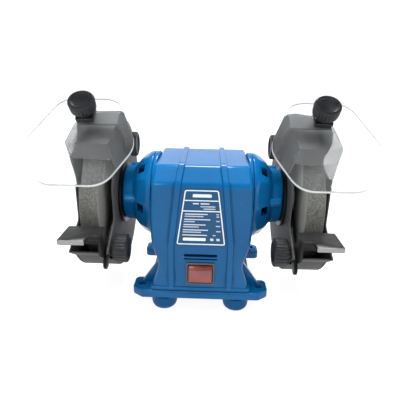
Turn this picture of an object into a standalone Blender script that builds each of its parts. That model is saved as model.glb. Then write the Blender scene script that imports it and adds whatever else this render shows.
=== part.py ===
"""Double-ended bench grinder: two guarded wheels on one motor shaft, eye shields and tool rests.

X is the shaft axis, -Y the operator's side, +Z up.  Sizes are in metres.  Inside the script Y is
measured from the shaft and Z from the bench; one empty then centres the whole machine in Y.
"""
import math

import bmesh
import bpy
from mathutils import Matrix, Vector

MM = 0.001
GAP = 0.3 * MM            # clearance between pieces that touch
FIT = 0.4 * MM            # clearance round a stud or screw in its hole

# Shaft line, bearings and wheels
SHAFT_HEIGHT = 100 * MM
SPINDLE_RADIUS = 6 * MM
CORE_RADIUS = 8 * MM
ROTOR_RADIUS = 19 * MM
ROTOR_LENGTH = 48 * MM
AIR_GAP = 0.5 * MM
STATOR_RADIUS = 33.5 * MM
STATOR_SLOTS = 12
WINDING_LENGTH = 9 * MM
BEARING_WIDTH = 10 * MM
BEARING_RADIUS = 16 * MM
RACE_WALL = 3 * MM
WHEEL_RADIUS = 62.5 * MM
WHEEL_WIDTH = 16 * MM
WHEEL_BORE = 12.7 * MM
WHEEL_INSET = 7.5 * MM    # wheel side to the guard's inner wall
FLANGE_RADIUS = 20 * MM
FLANGE_WALL = 2 * MM
NUT_FLATS = 19 * MM
NUT_WIDTH = 6 * MM

# Motor housing casting
HOUSING_FRONT = 52 * MM
HOUSING_TOP = 137.5 * MM
HOUSING_HALF_WIDTH = 44.8 * MM
WAIST_CUT = 6.4 * MM
TOP_CUT = 2.6 * MM
CHAMFER_DROP = 13 * MM
CHAMFER_DEPTH = 16 * MM
CORNER = 2.5 * MM
BASE_BOTTOM = 13.5 * MM
EAR_TOP = 21.5 * MM
BASE_TOP = 27 * MM
EAR_REACH = 63.3 * MM
EAR_DEPTH = 24 * MM
EAR_CHAMFER = 9 * MM
BOLT_HOLE = 6.5 * MM
COLLAR_RADIUS = 41 * MM
COLLAR_PROUD = 0.6 * MM
RIB_WIDTH = 5.6 * MM
RIB_PROUD = 1.8 * MM
RIB_TOP_X = 18.2 * MM
RIB_FOOT_X = 26.5 * MM
CAVITY_HALF_WIDTH = 27 * MM
CAVITY_TOP = 62 * MM
FRONT_WALL = 4 * MM
VENT_WIDTH = 30 * MM
VENT_HEIGHTS = (55.2 * MM, 58.8 * MM)
VENT_SLOTS = (1.5 * MM, 2.8 * MM)
WIRE_HOLE = 5 * MM

# End bells
BELL_LENGTH = 28.4 * MM
BELL_NECK = 25.5 * MM
BELL_WALL = 3 * MM
BELL_END_WALL = 2.3 * MM
BELL_WINDOWS = 6
HUB_RADIUS = 8.5 * MM
RING_RADIUS = 29.5 * MM
RING_WIDTH = 2.5 * MM

# Small parts in and on the housing
FOOT_RADIUS = 12.2 * MM
FOOT_X = 34 * MM
FOOT_Y = 41 * MM
FOOT_STEM = 3 * MM
FOOT_STEM_RISE = 6 * MM
PLATE_WALL = 1.5 * MM
PLATE_EDGE = 2 * MM
SWITCH_CENTRE = 41 * MM
SWITCH_WIDTH = 25.2 * MM
SWITCH_HEIGHT = 21.6 * MM
SWITCH_LIP = 0.8 * MM
SWITCH_FLANGE = 1.6 * MM
SWITCH_DEPTH = 18 * MM
SWITCH_WALL = 0.9 * MM
LABEL_BOTTOM = 69.5 * MM
LABEL_TOP = 121.5 * MM
LABEL_WIDTHS = (44 * MM, 29 * MM)
LABEL_WALL = 0.5 * MM
CAPACITOR_RADIUS = 11 * MM
CAPACITOR_LENGTH = 40 * MM
GLAND_RADIUS = 5.5 * MM
GLAND_HEIGHT = 36 * MM
GLAND_REACH = 9 * MM

# Wheel guards
GUARD_RADIUS = 71 * MM
WHEEL_MARGIN = 6.4 * MM   # wheel side to the guard's open edge
SHEET = 1.5 * MM
BEAK = Vector((-56 * MM, 59 * MM))
KNEE_Y = -26 * MM
BEAK_HEEL = Vector((-48 * MM, 47 * MM))
LIP = Vector((-74 * MM, -30 * MM))
LIP_ANGLE = math.radians(215)
DISH_RADIUS = 24 * MM
DISH_CLEARANCE = 2.1 * MM # spindle's end to the cover's dish
SCREW_RADIUS = 1.5 * MM
SCREW_HEAD = 3 * MM
SCREW_LENGTH = 9 * MM
SCREW_BOSS = 3.2 * MM
SCREW_ANGLES = (60, 340, 235)

# Tool rests, placed from the shaft line
REST_TOP = -9.5 * MM
REST_GAP = 3 * MM
REST_OVERHANG = 3.5 * MM
REST_WIDTH = 30.5 * MM
REST_DEPTH = 28.5 * MM
REST_WALL = 4 * MM
REST_STEP = Vector((9 * MM, 9 * MM))
TAB_WALL = 2 * MM
NOTCH_GAP = 1.4 * MM        # tab to the end of the notch in the guard's lip
REST_TRAVEL_OUT = 10 * MM
REST_TRAVEL_IN = 1.5 * MM
STUD = Vector((-59 * MM, -32 * MM))
STUD_RADIUS = 3 * MM
STUD_PROUD = 1.2 * MM      # stud past the last piece it clamps
STRIP_WALL = 2.5 * MM
STRIP_WIDTH = 11 * MM
STRIP_TOP = Vector((-34 * MM, -12 * MM))
STRIP_LENGTH = 46 * MM
RIVET_RADIUS = 4 * MM
RIVET_HEIGHT = 1.2 * MM
REST_KNOB_RADIUS = 12.4 * MM
KNOB_LOBES = 8
REST_KNOB_HEIGHT = 13 * MM

# Eye shields, placed from the shaft line
PIVOT = Vector((-15 * MM, 51 * MM))
ARM_WALL = 2 * MM
ARM_OFFSET = 6.5 * MM
ARM_KNOB_HEIGHT = 7.5 * MM
CLAMP_POINT = Vector((-46.5 * MM, 78.4 * MM))
SHIELD_TILT = math.radians(38)
SHIELD_WALL = 2.5 * MM
SHIELD_HALF_WIDTH = 44 * MM
SHIELD_TOP = 23.3 * MM
SHIELD_TIP = 24.5 * MM
SHIELD_WAIST = 29 * MM
SHIELD_CORNER = 12 * MM
SHIELD_RISE = 20 * MM
SHIELD_DROP = 67 * MM
CROSSBAR_HEIGHT = 13 * MM
CROSSBAR_FLANGE = 7 * MM
CROSSBAR_WIDTH = 34 * MM
CLAMP_WIDTH = 15 * MM
CLAMP_WALL = 3 * MM
SHIELD_KNOB_HEIGHT = 10.3 * MM
SHIELD_KNOB_RADIUS = 10.6 * MM
ARM_KNOB_RADIUS = 11 * MM

# Places along the shaft, worked out from the motor outwards
BELL_START = HOUSING_HALF_WIDTH + COLLAR_PROUD + GAP
BELL_END = BELL_START + BELL_LENGTH
RING_START = BELL_END + GAP
GUARD_START = RING_START + RING_WIDTH + GAP
WHEEL_START = GUARD_START + SHEET + WHEEL_INSET
WHEEL_END = WHEEL_START + WHEEL_WIDTH
GUARD_END = WHEEL_END + WHEEL_MARGIN
COVER_START = GUARD_END + GAP
BEARING_END = BELL_END - BELL_END_WALL - GAP
BEARING_START = BEARING_END - BEARING_WIDTH
STRIP_START = GUARD_START + SHEET + GAP
TAB_START = STRIP_START + STRIP_WALL + GAP
REST_START = GUARD_START + REST_OVERHANG
FLANGE_START = WHEEL_START - GAP - FLANGE_WALL
NUT_START = WHEEL_END + 2 * GAP + FLANGE_WALL
SPINDLE_END = NUT_START + NUT_WIDTH + 1 * MM
DISH_END = SPINDLE_END + DISH_CLEARANCE + SHEET
SHAFT = Vector((0, 0, SHAFT_HEIGHT))

SIDES = {"left": -1, "right": 1}

BLUE = ((0.012, 0.13, 0.42), 0.3, 0.0)
GREY = ((0.14, 0.15, 0.14), 0.45, 0.3)
BLACK = ((0.012, 0.012, 0.013), 0.45, 0.0)
STEEL = ((0.55, 0.55, 0.56), 0.35, 1.0)
DARK_STEEL = ((0.12, 0.12, 0.13), 0.5, 0.9)
GRIT = ((0.19, 0.19, 0.17), 0.95, 0.0)
COPPER = ((0.72, 0.3, 0.12), 0.35, 1.0)
RED = ((0.6, 0.02, 0.02), 0.25, 0.0)
SMOKE = ((0.5, 0.52, 0.53), 0.08, 0.0)
LABEL_BLUE = ((0.02, 0.06, 0.2), 0.4, 0.0)


def clear_scene():
    """Remove every object that the new file starts with."""
    for item in list(bpy.data.objects):
        bpy.data.objects.remove(item, do_unlink=True)


def empty(name, place, parent=None):
    """A plain empty at a place, for a frame or a joint axis."""
    item = bpy.data.objects.new(name, None)
    item.empty_display_size = 10 * MM
    bpy.context.scene.collection.objects.link(item)
    item.location = place
    item.parent = parent
    return item


def material(name, finish):
    """A Principled material with one colour, roughness and metallic value."""
    colour, roughness, metallic = finish
    made = bpy.data.materials.new(name)
    made.use_nodes = True
    shader = made.node_tree.nodes["Principled BSDF"]
    shader.inputs["Base Color"].default_value = (*colour, 1.0)
    shader.inputs["Roughness"].default_value = roughness
    shader.inputs["Metallic"].default_value = metallic
    return made


def link_mesh(name, shape, place):
    """Make an object from a bmesh whose origin is moved to a place."""
    bmesh.ops.recalc_face_normals(shape, faces=shape.faces)
    shape.transform(Matrix.Translation(-Vector(place)))
    mesh = bpy.data.meshes.new(name)
    shape.to_mesh(mesh)
    shape.free()
    item = bpy.data.objects.new(name, mesh)
    bpy.context.scene.collection.objects.link(item)
    return item


def piece(name, shape, finish, axis=None):
    """One sub-part.  Axis is the empty of the joint that it moves on, or none for a fixed piece."""
    place = axis.location if axis else Vector()
    item = link_mesh(name, shape, place)
    item.data.shade_smooth()
    item.data.set_sharp_from_angle(angle=math.radians(35))
    item.data.materials.append(material(name + "_finish", finish))
    item.parent = axis if axis else machine
    return item


def combine(item, name, shape, operation):
    """Cut a shape out of an item, or unite it with the item."""
    tool = link_mesh(name, shape, Vector())
    tool.parent = machine
    tool.hide_render = True
    tool.display_type = "WIRE"
    step = item.modifiers.new(name, "BOOLEAN")
    step.operation = operation
    step.solver = "EXACT"
    step.object = tool


def skin(shape, rows, closed_rows, closed_path):
    """Join rows of points with faces.  A row of one point is a pole."""
    rings = [[shape.verts.new(point) for point in row] for row in rows]
    pairs = list(zip(rings, rings[1:]))
    if closed_path:
        pairs.append((rings[-1], rings[0]))
    for first, second in pairs:
        count = max(len(first), len(second))
        for index in range(count if closed_rows else count - 1):
            after = index + 1
            corners = [first[index % len(first)], first[after % len(first)],
                       second[after % len(second)], second[index % len(second)]]
            shape.faces.new(list(dict.fromkeys(corners)))
    return rings


def turned(profile, segments=32, ring=False, lobes=0, lobe_depth=0.0, shape=None):
    """Turn (x, radius) points about the X axis; lobes ripple the points marked with a third value."""
    shape = shape or bmesh.new()
    rows = []
    for point in profile:
        x, radius = point[0], point[1]
        ripple = lobe_depth if len(point) > 2 else 0.0
        row = []
        for index in range(segments):
            angle = 2 * math.pi * index / segments
            reach = radius - ripple * (0.5 - 0.5 * math.cos(lobes * angle))
            row.append((x, reach * math.cos(angle), reach * math.sin(angle)))
        rows.append(row if radius > 0 else [(x, 0, 0)])
    skin(shape, rows, True, ring)
    return shape


def at_shaft(shape, side=1):
    """Move a shape from the X axis to the shaft line, turned to the left for the left side."""
    shape.transform(Matrix.Translation(SHAFT) @ Matrix.Diagonal((side, 1, 1, 1)))
    return shape


def prism(outline, start, end, shape=None):
    """Extrude a (y, z) outline along X from start to end."""
    shape = shape or bmesh.new()
    rows = [[(x, y, z) for y, z in outline] for x in (start, end)]
    first, last = skin(shape, rows, True, False)
    shape.faces.new(first[::-1])
    shape.faces.new(last)
    return shape


def upright(outline, bottom, top, shape=None):
    """Extrude an (x, y) outline along Z from bottom to top."""
    shape = shape or bmesh.new()
    rows = [[(x, y, z) for x, y in outline] for z in (bottom, top)]
    first, last = skin(shape, rows, True, False)
    shape.faces.new(first[::-1])
    shape.faces.new(last)
    return shape


def block(low, high, shape=None):
    """A box between two corners."""
    outline = [(low[0], low[1]), (high[0], low[1]), (high[0], high[1]), (low[0], high[1])]
    return upright(outline, low[2], high[2], shape)


def arc(centre, radius, start, end, steps):
    """Points on an arc from start to end, angles in radians."""
    turn = [start + (end - start) * index / steps for index in range(steps + 1)]
    return [(centre[0] + radius * math.cos(angle), centre[1] + radius * math.sin(angle)) for angle in turn]


def circle(centre, radius, count=24):
    """Points round a circle."""
    return arc(centre, radius, 0, 2 * math.pi, count)[:-1]


def rounded_box(half_width, half_depth, corner):
    """An (x, y) rectangle with round corners."""
    points = []
    for index, (side_x, side_y) in enumerate(((1, 1), (-1, 1), (-1, -1), (1, -1))):
        centre = (side_x * (half_width - corner), side_y * (half_depth - corner))
        points += arc(centre, corner, index * math.pi / 2, (index + 1) * math.pi / 2, 2)
    return points


def slot_outline(start, end, radius):
    """The (y, z) outline of a straight slot between two centres."""
    run = Vector(end) - Vector(start)
    turn = math.atan2(run.y, run.x)
    return (arc(end, radius, turn - math.pi / 2, turn + math.pi / 2, 6)
            + arc(start, radius, turn + math.pi / 2, turn + 3 * math.pi / 2, 6))


def raised(outline):
    """An outline given from the shaft line, lifted to its height above the bench."""
    return [(y, z + SHAFT_HEIGHT) for y, z in outline]


def housing_half_width(height):
    """Half the housing's width: full at the wheels' height, drawn in at the waist and the top."""
    waist = math.exp(-((height - 48 * MM) / (15 * MM)) ** 2)
    above = max(0.0, height - SHAFT_HEIGHT) / (HOUSING_TOP - SHAFT_HEIGHT)
    return HOUSING_HALF_WIDTH - WAIST_CUT * waist - TOP_CUT * above


def motor_housing():
    """The casting that holds the stator and stands on the bench."""
    shoulder = HOUSING_TOP - CHAMFER_DROP
    steps = 9
    heights = [BASE_TOP - 2 * MM + (shoulder - BASE_TOP + 2 * MM) * index / steps
               for index in range(steps + 1)]
    rows = []
    for height in heights:
        rows.append([(x, y, height) for x, y in rounded_box(housing_half_width(height), HOUSING_FRONT,
                                                            CORNER)])
    top = rounded_box(housing_half_width(HOUSING_TOP), HOUSING_FRONT - CHAMFER_DEPTH, CORNER)
    rows.append([(x, y, HOUSING_TOP) for x, y in top])
    body = bmesh.new()
    rings = skin(body, rows, True, False)
    body.faces.new(rings[0][::-1])
    body.faces.new(rings[-1])
    housing = piece("motor_housing", body, BLUE)

    foot_width = housing_half_width(BASE_TOP)
    plinth = upright(rounded_box(foot_width + 5 * MM, HOUSING_FRONT + 1 * MM, CORNER), BASE_BOTTOM, EAR_TOP)
    combine(housing, "plinth", plinth, "UNION")
    step = upright(rounded_box(foot_width + 1.5 * MM, HOUSING_FRONT + 0.2 * MM, CORNER),
                   EAR_TOP - 1 * MM, BASE_TOP)
    combine(housing, "plinth_step", step, "UNION")

    ears = bmesh.new()
    webs = bmesh.new()
    collars = bmesh.new()
    ribs = bmesh.new()
    for side_x in (-1, 1):
        for side_y in (-1, 1):
            front = HOUSING_FRONT + 0.5 * MM
            outline = [(foot_width - 8 * MM, front), (EAR_REACH - EAR_CHAMFER, front),
                       (EAR_REACH, front - EAR_CHAMFER * 0.75), (EAR_REACH, front - EAR_DEPTH + 3 * MM),
                       (EAR_REACH - 3 * MM, front - EAR_DEPTH), (foot_width - 8 * MM, front - EAR_DEPTH)]
            upright([(side_x * x, side_y * y) for x, y in outline], BASE_BOTTOM + 0.1 * MM,
                    EAR_TOP + 0.4 * MM, ears)
            web_y = side_y * (front - EAR_DEPTH + 6 * MM)
            foot = (side_x * (EAR_REACH - 8 * MM), EAR_TOP)
            head = (side_x * (HOUSING_HALF_WIDTH - WAIST_CUT - 2 * MM), 48 * MM)
            root = (side_x * (foot_width - 10 * MM), EAR_TOP - 3 * MM)
            toe = (foot[0], EAR_TOP - 3 * MM)
            rows = [[(x, y, z) for x, z in (foot, head, (root[0], head[1]), root, toe)]
                    for y in (web_y - 2.5 * MM, web_y + 2.5 * MM)]
            first, last = skin(webs, rows, True, False)
            webs.faces.new(first[::-1])
            webs.faces.new(last)
        prism(raised(circle((0, 0), COLLAR_RADIUS, 32)), side_x * (HOUSING_HALF_WIDTH - TOP_CUT - 0.3 * MM),
              side_x * (HOUSING_HALF_WIDTH + COLLAR_PROUD), collars)
        rib_loop(ribs, side_x)
    combine(housing, "ears", ears, "UNION")
    combine(housing, "webs", webs, "UNION")
    combine(housing, "collars", collars, "UNION")
    combine(housing, "ribs", ribs, "UNION")

    bore = prism(raised(circle((0, 0), STATOR_RADIUS + GAP, 36)), -HOUSING_HALF_WIDTH - 5 * MM,
                 HOUSING_HALF_WIDTH + 5 * MM)
    combine(housing, "stator_bore", bore, "DIFFERENCE")
    inner = HOUSING_FRONT - FRONT_WALL
    cavity = block((-CAVITY_HALF_WIDTH, -inner, BASE_BOTTOM - 5 * MM),
                   (CAVITY_HALF_WIDTH, inner, CAVITY_TOP))
    combine(housing, "base_cavity", cavity, "DIFFERENCE")
    edge = PLATE_EDGE
    recess = block((-CAVITY_HALF_WIDTH - edge, -inner - edge, BASE_BOTTOM - 5 * MM),
                   (CAVITY_HALF_WIDTH + edge, inner + edge, BASE_BOTTOM + PLATE_WALL + 2 * GAP))
    combine(housing, "plate_recess", recess, "DIFFERENCE")

    holes = bmesh.new()
    for side_x in (-1, 1):
        for side_y in (-1, 1):
            stem = circle((side_x * FOOT_X, side_y * FOOT_Y), FOOT_STEM + FIT, 16)
            upright(stem, BASE_BOTTOM - 5 * MM, BASE_BOTTOM + FOOT_STEM_RISE, holes)
            bolt = (side_x * (EAR_REACH - 8 * MM), side_y * (HOUSING_FRONT - EAR_DEPTH / 2 + 1 * MM))
            upright(circle(bolt, BOLT_HOLE / 2, 20), BASE_BOTTOM - 5 * MM, EAR_TOP + 5 * MM, holes)
    wire = circle((0, 0), WIRE_HOLE, 16)
    upright(wire, CAVITY_TOP - 5 * MM, SHAFT_HEIGHT - STATOR_RADIUS + 3 * MM, holes)
    combine(housing, "foot_and_bolt_holes", holes, "DIFFERENCE")

    slots = bmesh.new()
    for height, depth in zip(VENT_HEIGHTS, VENT_SLOTS):
        for side_y in (-1, 1):
            near, far = sorted((side_y * (inner - 3 * MM), side_y * (HOUSING_FRONT + 5 * MM)))
            block((-VENT_WIDTH / 2, near, height - depth / 2), (VENT_WIDTH / 2, far, height + depth / 2),
                  slots)
    half = (SWITCH_WIDTH / 2 - SWITCH_LIP + GAP, SWITCH_HEIGHT / 2 - SWITCH_LIP + GAP)
    block((-half[0], -HOUSING_FRONT - 5 * MM, SWITCH_CENTRE - half[1]),
          (half[0], -inner + 3 * MM, SWITCH_CENTRE + half[1]), slots)
    combine(housing, "front_openings", slots, "DIFFERENCE")
    inlet = turned([(0, 0), (0, GLAND_RADIUS + GAP), (FRONT_WALL + 8 * MM, GLAND_RADIUS + GAP),
                    (FRONT_WALL + 8 * MM, 0)], 20)
    inlet.transform(Matrix.Translation((0, inner - 3 * MM, GLAND_HEIGHT)) @ Matrix.Rotation(math.pi / 2, 4,
                                                                                            "Z"))
    combine(housing, "cable_inlet", inlet, "DIFFERENCE")


def rib_loop(shape, side):
    """A raised rib that runs up the front, over the top and down the back."""
    shoulder = HOUSING_TOP - CHAMFER_DROP
    flat = HOUSING_FRONT - CHAMFER_DEPTH
    turn = math.atan2(CHAMFER_DROP, CHAMFER_DEPTH)
    front = [(RIB_FOOT_X, HOUSING_FRONT, BASE_TOP - 5 * MM, 0.0),
             (RIB_FOOT_X, HOUSING_FRONT, LABEL_BOTTOM, 0.0),
             (RIB_TOP_X + 2 * MM, HOUSING_FRONT, shoulder, (math.pi / 2 - turn) / 2),
             (RIB_TOP_X, flat, HOUSING_TOP, math.pi / 2 - turn / 2)]
    stations = [(x, -y, z, -1, lean) for x, y, z, lean in front]
    stations += [(x, y, z, 1, lean) for x, y, z, lean in reversed(front)]
    rows = []
    for x, y, z, face, lean in stations:
        out = Vector((0, face * math.cos(lean), math.sin(lean)))
        across = Vector((RIB_WIDTH / 2, 0, 0))
        middle = Vector((side * x, y, z))
        proud = middle + out * RIB_PROUD
        under = middle - out * 2 * MM
        rows.append([proud - across * 0.75, proud + across * 0.75, middle + across, under + across,
                     under - across, middle - across])
    rings = skin(shape, rows, True, False)
    shape.faces.new(rings[0][::-1])
    shape.faces.new(rings[-1])


def bell_outer():
    """Outer (x, radius) points of an end bell: a short dome that draws in to the bearing neck."""
    shares = ((0.0, 1.0), (0.18, 0.985), (0.35, 0.92), (0.5, 0.83), (0.6, 0.735))
    points = [(BELL_START + share * BELL_LENGTH, radius * COLLAR_RADIUS) for share, radius in shares]
    return points + [(BELL_END - 1 * MM, BELL_NECK), (BELL_END, BELL_NECK - 1 * MM)]


def end_bell(name, side):
    """Cast cover on one end of the motor; its neck carries the bearing."""
    outer = bell_outer()
    seat = BEARING_RADIUS + GAP
    inner = [(BELL_END, HUB_RADIUS + 2 * FIT), (BELL_END - BELL_END_WALL, HUB_RADIUS + 2 * FIT),
             (BELL_END - BELL_END_WALL, seat), (BEARING_START - GAP, seat)]
    inner += [(x - BELL_WALL * 0.7, radius - BELL_WALL) for x, radius in reversed(outer[2:4])]
    inner += [(BELL_START, COLLAR_RADIUS - BELL_WALL - 1 * MM)]
    bell = piece(name + "_end_bell", at_shaft(turned(outer + inner, 24, ring=True), side), BLUE)
    lugs = bmesh.new()
    for index in range(3):
        angle = math.radians(5 + 120 * index)
        place = (-math.cos(angle) * (BELL_NECK + 1.5 * MM), math.sin(angle) * (BELL_NECK + 1.5 * MM))
        ends = sorted((side * (BELL_START + 0.32 * BELL_LENGTH), side * (BELL_END - 2 * MM)))
        prism(raised(circle(place, 4.2 * MM, 12)), ends[0], ends[1], lugs)
    combine(bell, name + "_bell_lugs", lugs, "UNION")
    windows = bmesh.new()
    for index in range(BELL_WINDOWS):
        angle = math.radians(35 + 360 * index / BELL_WINDOWS)
        window = block((side * (BELL_START + 0.36 * BELL_LENGTH) - 3 * MM, -4.5 * MM, 0.62 * COLLAR_RADIUS),
                       (side * (BELL_START + 0.36 * BELL_LENGTH) + 3 * MM, 4.5 * MM, 1.2 * COLLAR_RADIUS))
        window.transform(Matrix.Translation(SHAFT) @ Matrix.Rotation(angle, 4, "X"))
        window_mesh = bpy.data.meshes.new("window")
        window.to_mesh(window_mesh)
        windows.from_mesh(window_mesh)
        window.free()
    combine(bell, name + "_bell_windows", windows, "DIFFERENCE")


def stator():
    """Laminated ring with slots for the winding, and the two winding ends."""
    inner = ROTOR_RADIUS + AIR_GAP
    outside = []
    inside = []
    corners = ((0.12, inner), (0.38, inner), (0.42, inner + 8 * MM), (1.08, inner + 8 * MM))
    for slot in range(STATOR_SLOTS):
        for share, radius in corners:
            angle = 2 * math.pi * (slot + share) / STATOR_SLOTS
            inside.append((radius * math.cos(angle), radius * math.sin(angle)))
            outside.append((STATOR_RADIUS * math.cos(angle), STATOR_RADIUS * math.sin(angle)))
    core = bmesh.new()
    half = ROTOR_LENGTH / 2
    loops = [(-half, outside), (half, outside), (half, inside), (-half, inside)]
    rows = [[(x, y, z) for y, z in loop] for x, loop in loops]
    skin(core, rows, True, True)
    piece("stator_core", at_shaft(core), DARK_STEEL)
    middle = (inner + STATOR_RADIUS) / 2
    reach = (STATOR_RADIUS - inner) / 2 - 2.5 * MM
    for name, side in SIDES.items():
        centre = half + GAP + WINDING_LENGTH / 2
        profile = [(centre + WINDING_LENGTH / 2 * math.cos(math.radians(turn)),
                    middle + reach * math.sin(math.radians(turn))) for turn in range(0, 360, 60)]
        piece(name + "_winding", at_shaft(turned(profile, 24, ring=True), side), COPPER)


def spindle_pieces(axis):
    """Everything that turns with the shaft."""
    half = ROTOR_LENGTH / 2
    shoulder = BEARING_START - GAP
    right = [(half + 6 * MM, CORE_RADIUS + 1 * MM), (half + 6 * MM, CORE_RADIUS), (shoulder, CORE_RADIUS),
             (shoulder, SPINDLE_RADIUS), (SPINDLE_END - 1 * MM, SPINDLE_RADIUS),
             (SPINDLE_END, SPINDLE_RADIUS - 1 * MM),
             (SPINDLE_END, 0)]
    left = [(-x, radius) for x, radius in reversed(right)]
    piece("shaft", at_shaft(turned(left + right, 16)), STEEL, axis)
    bore = CORE_RADIUS + 1 * MM + GAP
    rotor = [(-half, bore), (-half - 5 * MM, bore), (-half - 5 * MM, ROTOR_RADIUS - 4 * MM),
             (-half, ROTOR_RADIUS - 3 * MM),
             (-half, ROTOR_RADIUS), (half, ROTOR_RADIUS), (half, ROTOR_RADIUS - 3 * MM),
             (half + 5 * MM, ROTOR_RADIUS - 4 * MM), (half + 5 * MM, bore), (half, bore)]
    piece("rotor_core", at_shaft(turned(rotor, 24, ring=True)), DARK_STEEL, axis)
    for name, side in SIDES.items():
        for race, low in (("inner", SPINDLE_RADIUS + GAP), ("outer", BEARING_RADIUS - RACE_WALL)):
            high = low + RACE_WALL
            profile = [(BEARING_START, low), (BEARING_START, high), (BEARING_END, high), (BEARING_END, low)]
            holder = axis if race == "inner" else None
            piece(name + "_bearing_" + race + "_race", at_shaft(turned(profile, 20, ring=True), side),
                  STEEL, holder)
        bore = SPINDLE_RADIUS + GAP
        hub_start = BEARING_END + GAP
        profile = [(hub_start, bore), (hub_start, HUB_RADIUS), (FLANGE_START - 3 * MM, HUB_RADIUS),
                   (FLANGE_START, HUB_RADIUS + 4 * MM), (FLANGE_START, FLANGE_RADIUS),
                   (FLANGE_START + FLANGE_WALL, FLANGE_RADIUS), (FLANGE_START + FLANGE_WALL, bore)]
        piece(name + "_inner_flange", at_shaft(turned(profile, 24, ring=True), side), STEEL, axis)
        bevel = 1 * MM
        profile = [(WHEEL_START, WHEEL_BORE / 2), (WHEEL_START, WHEEL_RADIUS - bevel),
                   (WHEEL_START + bevel, WHEEL_RADIUS), (WHEEL_END - bevel, WHEEL_RADIUS),
                   (WHEEL_END, WHEEL_RADIUS - bevel), (WHEEL_END, WHEEL_BORE / 2)]
        piece(name + "_wheel", at_shaft(turned(profile, 48, ring=True), side), GRIT, axis)
        start = WHEEL_END + GAP
        profile = [(start, bore), (start, FLANGE_RADIUS), (start + FLANGE_WALL / 2, FLANGE_RADIUS),
                   (start + FLANGE_WALL, FLANGE_RADIUS - 3 * MM), (start + FLANGE_WALL, bore)]
        piece(name + "_outer_flange", at_shaft(turned(profile, 24, ring=True), side), STEEL, axis)
        nut = prism(raised(circle((0, 0), NUT_FLATS / math.sqrt(3), 6)), side * NUT_START,
                    side * (NUT_START + NUT_WIDTH))
        nut = piece(name + "_wheel_nut", nut, STEEL, axis)
        hole = prism(raised(circle((0, 0), bore, 20)), side * (NUT_START - 3 * MM),
                     side * (NUT_START + NUT_WIDTH + 3 * MM))
        combine(nut, name + "_nut_bore", hole, "DIFFERENCE")


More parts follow.
